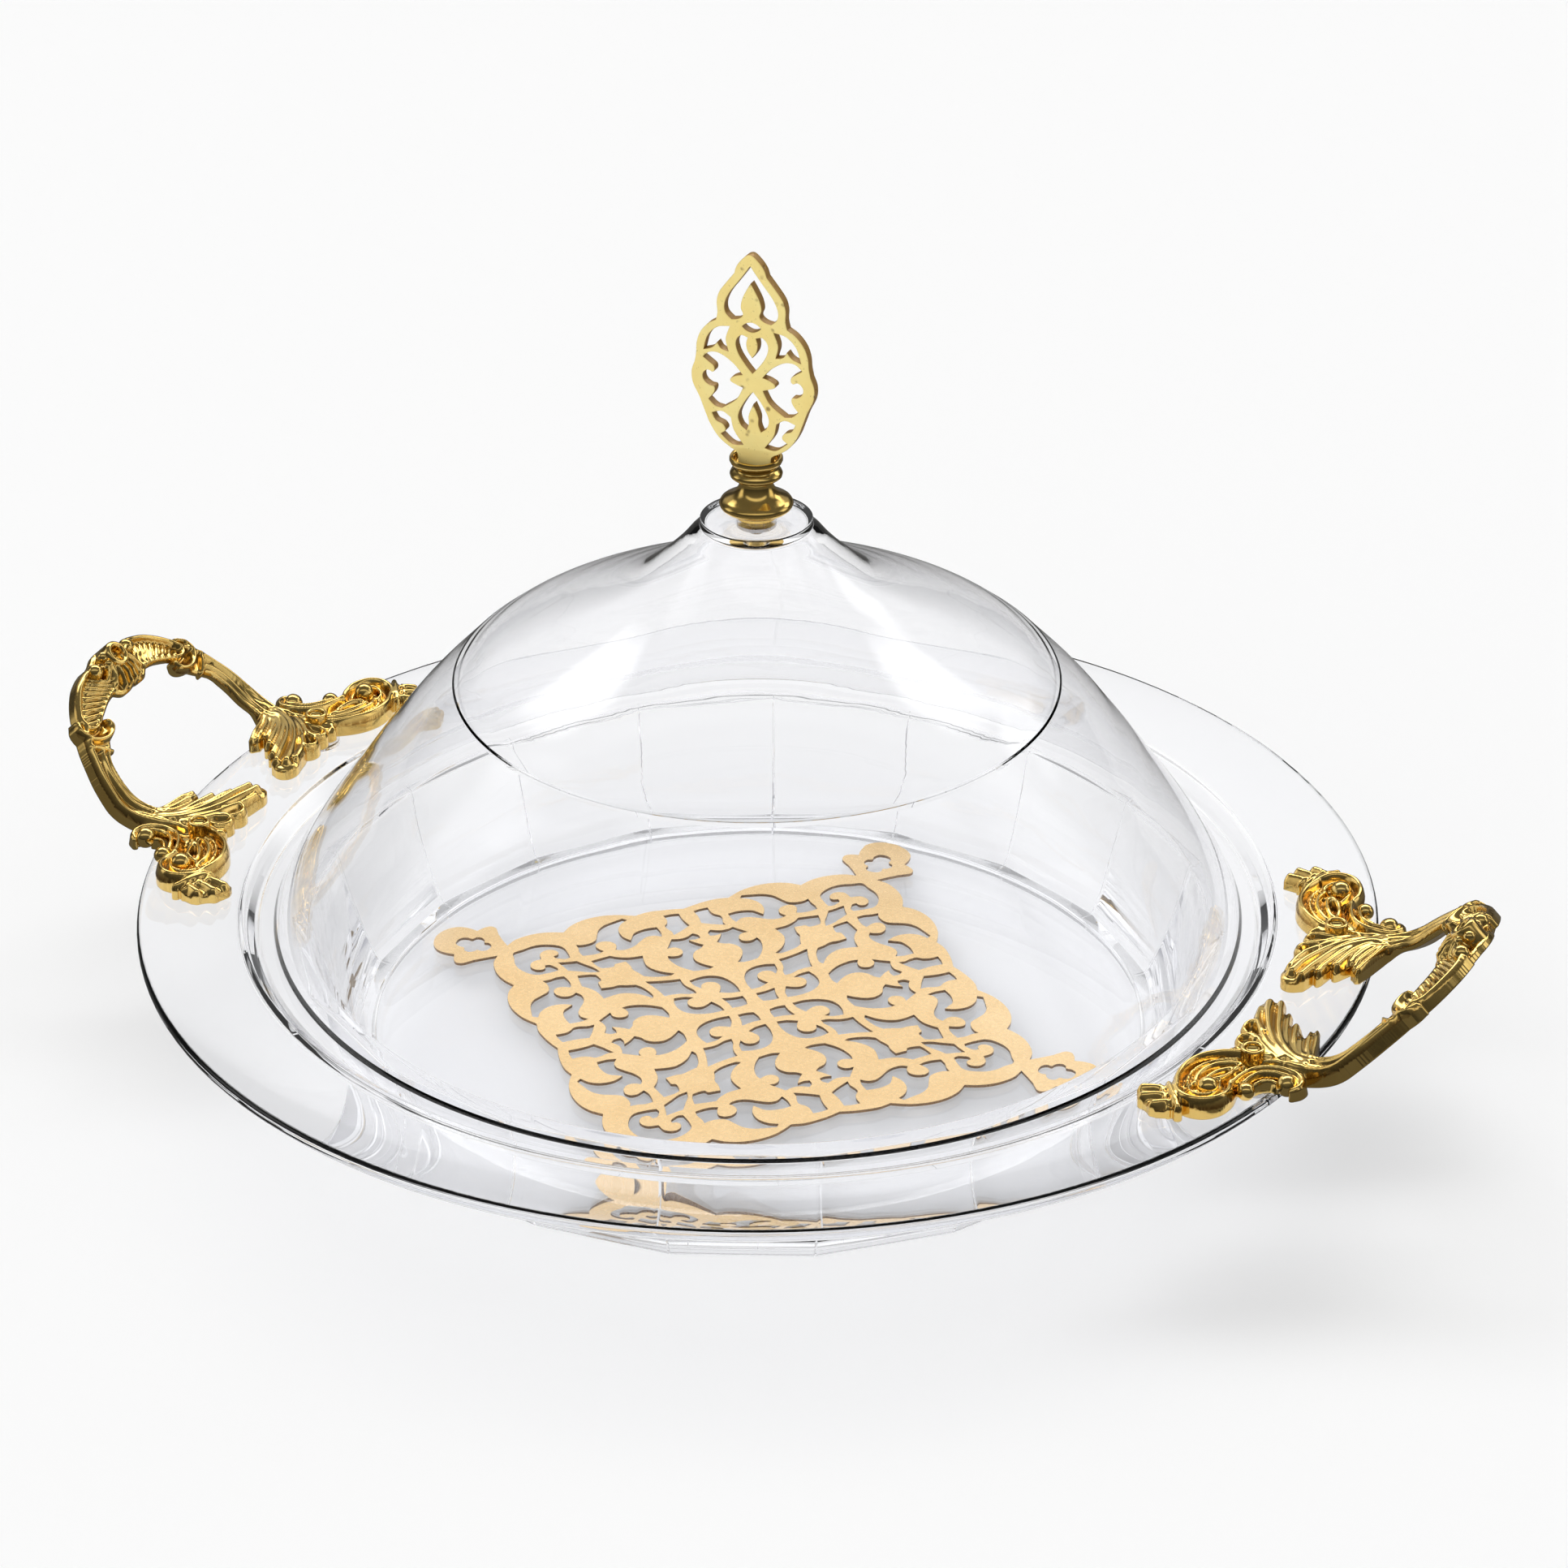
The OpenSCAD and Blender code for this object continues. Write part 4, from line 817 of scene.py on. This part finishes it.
def handle_field():
    u = np.arange(118.5, 201.6, GRID)
    v = np.arange(-2.4, 67.2, GRID)
    V, U = np.meshgrid(v, u)
    S = np.full(U.shape, 9.0)

    def poly_sdf(pts):
        pts = np.asarray(pts)[:, :2]
        d2 = np.full(U.shape, 1e9)
        inside = np.zeros(U.shape, bool)
        a = pts
        b = np.roll(pts, -1, axis=0)
        for (ax, ay), (bx, by) in zip(a, b):
            ex, ey = bx - ax, by - ay
            l2 = ex * ex + ey * ey
            if l2 < 1e-12:
                continue
            t = np.clip(((U - ax) * ex + (V - ay) * ey) / l2, 0, 1)
            d2 = np.minimum(d2, (U - ax - t * ex) ** 2 + (V - ay - t * ey) ** 2)
            if ay != by:
                c = ((ay > V) != (by > V)) & (U < (bx - ax) * (V - ay) / (by - ay) + ax)
                inside ^= c
        return np.where(inside, -1, 1) * np.sqrt(d2)

    def strand_field(pts):
        q = path(pts, 5)
        best = np.full(U.shape, 9.0)
        H = np.full(U.shape, -1.0)
        lo, hi = q[:, :2].min(0) - 3.2, q[:, :2].max(0) + 3.2
        i0, i1 = np.searchsorted(u, [lo[0], hi[0]])
        j0, j1 = np.searchsorted(v, [lo[1], hi[1]])
        if i1 <= i0 or j1 <= j0:
            return best, H
        UU, VV = U[i0:i1, j0:j1], V[i0:i1, j0:j1]
        bb, hh = best[i0:i1, j0:j1], H[i0:i1, j0:j1]
        for a, b in zip(q[:-1], q[1:]):
            ex, ey = b[0] - a[0], b[1] - a[1]
            l2 = ex * ex + ey * ey
            if l2 < 1e-12:
                continue
            t = np.clip(((UU - a[0]) * ex + (VV - a[1]) * ey) / l2, 0, 1)
            d = np.sqrt((UU - a[0] - t * ex) ** 2 + (VV - a[1] - t * ey) ** 2)
            w = a[2] + (b[2] - a[2]) * t
            c = a[3] + (b[3] - a[3]) * t
            s = np.clip(2 * d / w, 0, 1)
            foot = np.minimum(2.3, c - 0.8)
            hh[:] = np.maximum(hh, np.where(s < 1, foot + (c - foot) * (1 - s * s) ** 0.62, -1))
            bb[:] = np.minimum(bb, d - w / 2)
        return best, H

    def soft_min(a, b, k):
        h = np.clip(0.5 + 0.5 * (b - a) / k, 0, 1)
        return b + (a - b) * h - k * h * (1 - h)

    plates = [loop(p, 5) for p in (fan, bow_out, scroll_area, tassel)]
    for p in plates:
        S = soft_min(S, poly_sdf(p), 0.25)
    H = np.zeros(U.shape)
    fields = []
    for s in strands:
        d, h = strand_field(s)
        S = soft_min(S, d + 0.06, 0.25)
        fields.append(h)
    # level of the ground between the strands
    ground = np.full(U.shape, 3.2)
    edge = from_inner(U, np.abs(V))
    ground = np.where(U > 158, 3.4 + 0.9 * np.clip(1 - edge / 3.5, 0, 1), ground)
    ground = np.where(U > 186, np.maximum(4.7 - 0.24 * edge, 2.4), ground)
    ground = np.where((U < 150) & (V > 33), 2.6, ground)
    for pts, level in hollows:
        d = poly_sdf(loop(pts, 5))
        t = np.clip(0.5 - d / 0.9, 0, 1)
        t = t * t * (3 - 2 * t)
        ground = ground + ((np.maximum(ground - 0.9, 1.8) if level is None else level) - ground) * t
    for _ in range(3):
        g = np.pad(ground, 1, mode="edge")
        ground = (g[:-2, 1:-1] + g[2:, 1:-1] + g[1:-1, :-2] + g[1:-1, 2:] + 4 * ground) / 8
    turn = np.clip(-S / 1.0, 0, 1)
    ground = ground - 1.0 * (1 - np.sqrt(np.clip(1 - (1 - turn) ** 2, 0, 1)))
    H = ground
    k = 0.35
    for h in fields:
        on = h > 0.2
        H = np.where(on, 0.5 * (H + h + np.sqrt((H - h) ** 2 + k * k)), H)
    # a light polish of the creases
    inside = (S < GRID).astype(float)
    P = H * inside
    for _ in range(3):
        a, b = np.pad(P, 1), np.pad(inside, 1)
        s = a[:-2, 1:-1] + a[2:, 1:-1] + a[1:-1, :-2] + a[1:-1, 2:] + 5 * P
        w = b[:-2, 1:-1] + b[2:, 1:-1] + b[1:-1, :-2] + b[1:-1, 2:] + 5 * inside
        P = np.where(inside > 0, s / np.maximum(w, 1e-6), 0)
    H = np.where(inside > 0, P, H)
    # how deep a point lies between its neighbours; the gold darkens these hollows towards brown, partly as patina and
    # partly as painted shade
    n = max(1, int(round(1.1 / GRID)))
    blur, wsum = np.zeros(U.shape), np.zeros(U.shape)
    Hp, Ip = np.pad(H * inside, n), np.pad(inside, n)
    for i in range(-n, n + 1):
        for j in range(-n, n + 1):
            if i * i + j * j <= n * n:
                blur += Hp[n + i:n + i + U.shape[0], n + j:n + j + U.shape[1]]
                wsum += Ip[n + i:n + i + U.shape[0], n + j:n + j + U.shape[1]]
    cavity = np.clip((blur / np.maximum(wsum, 1e-6) - H) / 0.9, 0, 1)
    return u, v, S, H, cavity


def contour_mesh(u, v, S, H, C):
    """Marching squares of S < 0: top points (u, v, h, cavity), polygons and border edges."""
    nu, nv = S.shape
    ins = S < 0
    pts, idx = [], -np.ones(S.shape, int)
    ii, jj = np.nonzero(ins)
    for i, j in zip(ii, jj):
        idx[i, j] = len(pts)
        pts.append((u[i], v[j], H[i, j], C[i, j]))
    edge_u, edge_v = {}, {}

    def crossing(i, j, di, dj):
        key = (i, j)
        table = edge_u if di else edge_v
        if key in table:
            return table[key]
        a, b = S[i, j], S[i + di, j + dj]
        t = min(max(a / (a - b), 0.1), 0.9)
        p = (u[i] + (u[i + di] - u[i]) * t, v[j] + (v[j + dj] - v[j]) * t)
        h = H[i, j] + (H[i + di, j + dj] - H[i, j]) * t
        c = C[i, j] if ins[i, j] else C[i + di, j + dj]
        table[key] = len(pts)
        pts.append((*p, h, c))
        return table[key]

    count = ins[:-1, :-1].astype(int) + ins[1:, :-1] + ins[1:, 1:] + ins[:-1, 1:]
    polys, border = [], []
    for i, j in zip(*np.nonzero(count == 4)):
        polys.append((idx[i, j], idx[i + 1, j], idx[i + 1, j + 1], idx[i, j + 1]))
    for i, j in zip(*np.nonzero((count > 0) & (count < 4))):
        corners = [(i, j), (i + 1, j), (i + 1, j + 1), (i, j + 1)]
        ring = []
        for k in range(4):
            a, b = corners[k], corners[(k + 1) % 4]
            if ins[a]:
                ring.append(("in", idx[a]))
            if ins[a] != ins[b]:
                lo = min(a, b)
                hi = max(a, b)
                ring.append(("out" if ins[a] else "back", crossing(lo[0], lo[1], hi[0] - lo[0], hi[1] - lo[1])))
        # split into runs that start where the outline comes back in and end where it goes out
        starts = [k for k, r in enumerate(ring) if r[0] == "back"]
        for s in starts:
            run = [ring[s][1]]
            k = (s + 1) % len(ring)
            while ring[k][0] == "in":
                run.append(ring[k][1])
                k = (k + 1) % len(ring)
            run.append(ring[k][1])
            polys.append(tuple(run))
            border.append((run[-1], run[0]))
    return pts, polys, border


def relief(u, v, S, H, C):
    """Closed solid of the half with v >= 0, mirrored into the other half."""
    keep = v > -GRID * 1.01
    v = v[keep]
    off = v[np.argmin(np.abs(v))]
    v = v - off
    keep_idx = np.nonzero(keep)[0]
    S, H, C = S[:, keep_idx], H[:, keep_idx], C[:, keep_idx]
    pos = v >= -1e-6
    v, S, H, C = v[pos], S[:, pos], H[:, pos], C[:, pos]
    v[0] = 0.0
    # mirror the fields, so that both halves are one sheet
    V2 = np.concatenate([-v[:0:-1], v])
    S2 = np.concatenate([S[:, :0:-1], S], axis=1)
    H2 = np.concatenate([H[:, :0:-1], H], axis=1)
    C2 = np.concatenate([C[:, :0:-1], C], axis=1)
    pts, polys, border = contour_mesh(u, V2, S2, H2, C2)
    n = len(pts)
    P = np.array(pts)
    B = underside(P[:, 0], P[:, 1])
    P[:, 2] = np.maximum(P[:, 2], B + 0.8)
    verts = [tuple(p) for p in P]
    rim = sorted({a for e in border for a in e})
    rows = []
    for level in ("high", "low", "foot"):
        row = {}
        for a in rim:
            uu, vv, h, c = P[a]
            z = {"high": h - 0.4, "low": B[a] + 0.35, "foot": B[a]}[level]
            row[a] = len(verts)
            verts.append((uu, vv, max(z, 0.0), 0.0))
        rows.append(row)
    faces = [tuple(p) for p in polys]
    for a, b in border:
        chain = [(a, b)] + [(r[a], r[b]) for r in rows]
        for (p, q), (s, t) in zip(chain[:-1], chain[1:]):
            faces.append((p, q, t, s))
    bottom = {}
    foot = rows[-1]
    for p in polys:
        f = []
        for a in p:
            if a in foot:
                f.append(foot[a])
            else:
                if a not in bottom:
                    bottom[a] = len(verts)
                    verts.append((P[a][0], P[a][1], B[a], 0.0))
                f.append(bottom[a])
        faces.append(tuple(reversed(f)))
    return verts, faces


def bend(u, v, h):
    """From the flat layout to the bent handle, for the right side of the tray, in metres."""
    u, v, h = np.asarray(u, float), np.asarray(v, float), np.asarray(h, float)
    t = np.clip((u - BEND_U) / BEND_R, 0, BOW_A)
    x = np.where(u < BEND_U, u, BEND_U + (BEND_R - h) * np.sin(t))
    z = np.where(u < BEND_U, h, BEND_R - (BEND_R - h) * np.cos(t))
    far = np.clip(u - BEND_U - BEND_R * BOW_A, 0, None)
    x = x + far * math.cos(BOW_A)
    z = z + far * math.sin(BOW_A)
    return np.stack([x, v, z + RIM_Z + 0.03], -1) * MM


def turned_shell(profile, cu, cv, n, tilt=(0.0, 0.0)):
    """A small closed lathe about an upright axis of the flat layout: verts (u, v, h, 0), faces."""
    verts, rows = [], []
    for r, h in profile:
        du, dv = tilt[0] * h, tilt[1] * h
        if r < 1e-6:
            rows.append([len(verts)])
            verts.append((cu + du, cv + dv, h, 0.0))
        else:
            row = []
            for k in range(n):
                w = 2 * math.pi * k / n
                row.append(len(verts))
                verts.append((cu + du + r * math.cos(w), cv + dv + r * math.sin(w), h, 0.0))
            rows.append(row)
    faces = []
    for a, b in zip(rows[:-1], rows[1:]):
        for i in range(n):
            j = (i + 1) % n
            if len(a) == 1:
                faces.append((a[0], b[i], b[j]))
            elif len(b) == 1:
                faces.append((a[i], b[0], a[j]))
            else:
                faces.append((a[i], b[i], b[j], a[j]))
    return verts, faces


def ball(cu, cv, zc, r, n=24):
    prof = [(0, max(zc - r, 0.2))]
    for k in range(1, 14):
        w = -math.pi / 2 + math.pi * k / 14
        prof.append((r * math.cos(w), max(zc + r * math.sin(w), 0.2 + 0.001 * k)))
    prof.append((0, zc + r))
    return turned_shell(prof, cu, cv, n)


def ring_shell(cu, cv, base, top, r_out, r_in, depth, n=40, lip=0.5):
    """A round boss with a sunk bore and a rolled lip."""
    prof = [(0, base), (r_out - 0.1, base), (r_out, base + 0.3), (r_out, top - lip)]
    for k in range(1, 7):
        w = math.pi * k / 7
        mid, half_w = (r_out + r_in) / 2, (r_out - r_in) / 2
        prof.append((mid + half_w * math.cos(w), top - lip + lip * math.sin(w)))
    prof += [(r_in, top - lip), (r_in, depth), (0, depth)]
    return turned_shell(prof, cu, cv, n)


def build_handle(name, side):
    verts, faces = list(RELIEF[0]), list(RELIEF[1])
    shells = []
    for s in (-1, 1):
        shells.append(ring_shell(SCREW_X, s * SCREW_Y, 0.0, 6.2, 2.9, 1.9, 5.0))
        shells.append(ball(136.5, s * 50.3, 4.2, 2.6))
        shells.append(ball(144.4, s * 45.8, 2.3, 2.2))
        shells.append(ball(152.6, s * 39.9, 2.6, 2.7))
        shells.append(ball(196.3, s * 8.0, 3.7, 2.1))
        for (du, dv, r, zc) in ((1.5, 2.9, 1.55, 4.7), (-0.8, 3.6, 1.3, 5.4)):
            shells.append(ball(196.4 + du, s * dv, zc, r))
    shells.append(ring_shell(196.4, 0, 1.0, 7.5, 3.6, 1.9, 4.6, lip=1.0))
    for vv, ff in shells:
        base = len(verts)
        verts += vv
        faces += [tuple(base + i for i in f) for f in ff]
    A = np.array(verts)
    P = bend(A[:, 0], A[:, 1], A[:, 2])
    P[:, 0] *= side
    o = mesh_object(name, P, faces, angle=150)
    # the cavity values drive the dark brown in the hollows of the gold, partly patina and partly painted shade
    at = o.data.attributes.new("cavity", "FLOAT", "POINT")
    at.data.foreach_set("value", A[:, 3].astype(np.float32))
    return o


RELIEF = relief(*handle_field())
for name, side, cad in (("handle_right_casting", 1, "handle_right"), ("handle_left_casting", -1, "handle_left")):
    h = build_handle(name, side)
    dress(h, GOLD)
    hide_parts(cad)
    print(name, len(h.data.polygons))

# ---------------------------------------------------------------- floor
m, t, out = new_material("studio_floor")
lp = node(t, "ShaderNodeLightPath")
white = node(t, "ShaderNodeBsdfDiffuse")
white.inputs["Color"].default_value = (0.70, 0.70, 0.70, 1)
dim = node(t, "ShaderNodeEmission")
dim.inputs["Color"].default_value = (1.0, 0.98, 0.95, 1)
dim.inputs["Strength"].default_value = 0.11
glow = node(t, "ShaderNodeEmission")
glow.inputs["Strength"].default_value = 0.26
add = node(t, "ShaderNodeAddShader")
t.links.new(white.outputs[0], add.inputs[0])
t.links.new(glow.outputs[0], add.inputs[1])
mix = node(t, "ShaderNodeMixShader")
mirrored = math_node(t, "MULTIPLY", lp.outputs["Is Glossy Ray"], lp.outputs["Is Reflection Ray"])
mirrored = math_node(t, "MULTIPLY", mirrored, math_node(t, "LESS_THAN", lp.outputs["Transmission Depth"], 0.5))
t.links.new(math_node(t, "MULTIPLY", mirrored, 0.97), mix.inputs[0])
t.links.new(add.outputs[0], mix.inputs[1])
t.links.new(dim.outputs[0], mix.inputs[2])
t.links.new(mix.outputs[0], out.inputs["Surface"])
me = bpy.data.meshes.new("studio_floor")
R = 30.0
me.from_pydata([(-R, -R, -0.0002), (R, -R, -0.0002), (R, R, -0.0002), (-R, R, -0.0002)], [], [(0, 1, 2, 3)])
floor = bpy.data.objects.new("studio_floor", me)
bpy.context.scene.collection.objects.link(floor)
me.materials.append(m)

# ---------------------------------------------------------------- light
world = bpy.data.worlds.new("studio")
bpy.context.scene.world = world
world.use_nodes = True
t = world.node_tree
t.nodes.clear()
coord = node(t, "ShaderNodeTexCoord").outputs["Generated"]


def dot(vec, c):
    n = node(t, "ShaderNodeVectorMath", operation="DOT_PRODUCT")
    t.links.new(vec, n.inputs[0])
    n.inputs[1].default_value = c
    return n.outputs["Value"]


def card(azimuth, elevation, wide, high, soft, strength):
    """A soft rectangular light or shade far away; azimuth 0 is +Y, 90 is +X; sizes in degrees."""
    az, el = math.radians(azimuth), math.radians(elevation)
    c = Vector((math.sin(az) * math.cos(el), math.cos(az) * math.cos(el), math.sin(el)))
    side = Vector((math.cos(az), -math.sin(az), 0.0))
    up = side.cross(c).normalized()
    f = math_node(t, "MAXIMUM", dot(coord, c), 0.001)
    x = math_node(t, "ABSOLUTE", math_node(t, "DIVIDE", dot(coord, side), f))
    y = math_node(t, "ABSOLUTE", math_node(t, "DIVIDE", dot(coord, up), f))
    a, b = math.tan(math.radians(wide)), math.tan(math.radians(high))
    fx = maprange(t, x, a * (1 - soft), a * (1 + soft), 1.0, 0.0, "SMOOTHSTEP")
    fy = maprange(t, y, b * (1 - soft), b * (1 + soft), 1.0, 0.0, "SMOOTHSTEP")
    front = maprange(t, dot(coord, c), 0.02, 0.1, 0.0, 1.0)
    return math_node(t, "MULTIPLY", math_node(t, "MULTIPLY", fx, fy), math_node(t, "MULTIPLY", front, strength))


height = node(t, "ShaderNodeSeparateXYZ")
t.links.new(coord, height.inputs[0])
# what the metal and the outer faces mirror
total = maprange(t, height.outputs["Z"], 0.0, 0.9, 0.05, 0.15, "SMOOTHSTEP")
for c in (card(-24, 51, 32, 9, 0.30, 4.2),
          card(-24, 30, 36, 13, 0.35, 0.40),
          card(58, 20, 11, 16, 0.50, 1.1),
          card(-104, 20, 11, 16, 0.50, 0.9),
          card(157, 60, 44, 7, 0.40, 0.8),
          card(27, 28, 10, 7, 0.40, 2.2)):
    total = math_node(t, "ADD", total, c)
# what shows through the acrylic
through = maprange(t, height.outputs["Z"], 0.02, 0.30, 0.68, 0.76, "SMOOTHSTEP")
through = math_node(t, "SUBTRACT", through, maprange(t, height.outputs["Z"], 0.62, 0.95, 0.0, 0.34, "SMOOTHSTEP"))
for c in (card(-24, 30, 40, 20, 0.35, 0.45), card(85, 30, 10, 20, 0.35, 0.9), card(-100, 30, 10, 20, 0.35, 0.7)):
    through = math_node(t, "ADD", through, c)
lp = node(t, "ShaderNodeLightPath")


def choose(fac, a, b):
    n = node(t, "ShaderNodeMix", data_type="FLOAT")
    t.links.new(fac, n.inputs[0])
    for k, v in ((2, a), (3, b)):
        if isinstance(v, float):
            n.inputs[k].default_value = v
        else:
            t.links.new(v, n.inputs[k])
    return n.outputs[0]


inside = math_node(t, "GREATER_THAN", lp.outputs["Transmission Depth"], 0.5)
level = choose(inside, total, through)
level = choose(lp.outputs["Is Camera Ray"], level, 0.93)
bg = node(t, "ShaderNodeBackground")
bg.inputs["Color"].default_value = (0.985, 0.99, 1.0, 1)
t.links.new(level, bg.inputs["Strength"])
out = node(t, "ShaderNodeOutputWorld")
t.links.new(bg.outputs[0], out.inputs["Surface"])

for name, energy, angle, way in (("soft_key", 0.6, 50, (0.42, -0.34, -0.84)), ("front_fill", 2.1, 70, (0.10, 0.93, -0.33))):
    sun = bpy.data.lights.new(name, "SUN")
    sun.energy = energy
    sun.angle = math.radians(angle)
    sun.color = (1.0, 0.99, 0.97)
    lamp = bpy.data.objects.new(name, sun)
    lamp.rotation_euler = Vector(way).to_track_quat("-Z", "Y").to_euler()
    lamp.visible_glossy = False
    lamp.visible_transmission = False
    bpy.context.scene.collection.objects.link(lamp)

# ---------------------------------------------------------------- camera
cam = bpy.data.cameras.new("camera")
cam.lens = 119.34
cam.sensor_width = 36.0
cam.sensor_fit = "HORIZONTAL"
cam.shift_x = -0.00787
cam.shift_y = 0.0685
cam.clip_start, cam.clip_end = 0.05, 100.0
eye = bpy.data.objects.new("camera", cam)
eye.location = (0.4533, -1.0384, 0.6860)
eye.rotation_euler = Vector((-0.34085, 0.79924, -0.49500)).to_track_quat("-Z", "Y").to_euler()
bpy.context.scene.collection.objects.link(eye)
scene = bpy.context.scene
scene.camera = eye

scene.view_settings.view_transform = "Standard"
scene.view_settings.look = "None"
scene.cycles.max_bounces = 10
scene.cycles.transmission_bounces = 10
scene.cycles.glossy_bounces = 4
scene.cycles.diffuse_bounces = 1
scene.cycles.transparent_max_bounces = 12
scene.cycles.caustics_reflective = False
scene.cycles.caustics_refractive = False
scene.cycles.sample_clamp_indirect = 6.0
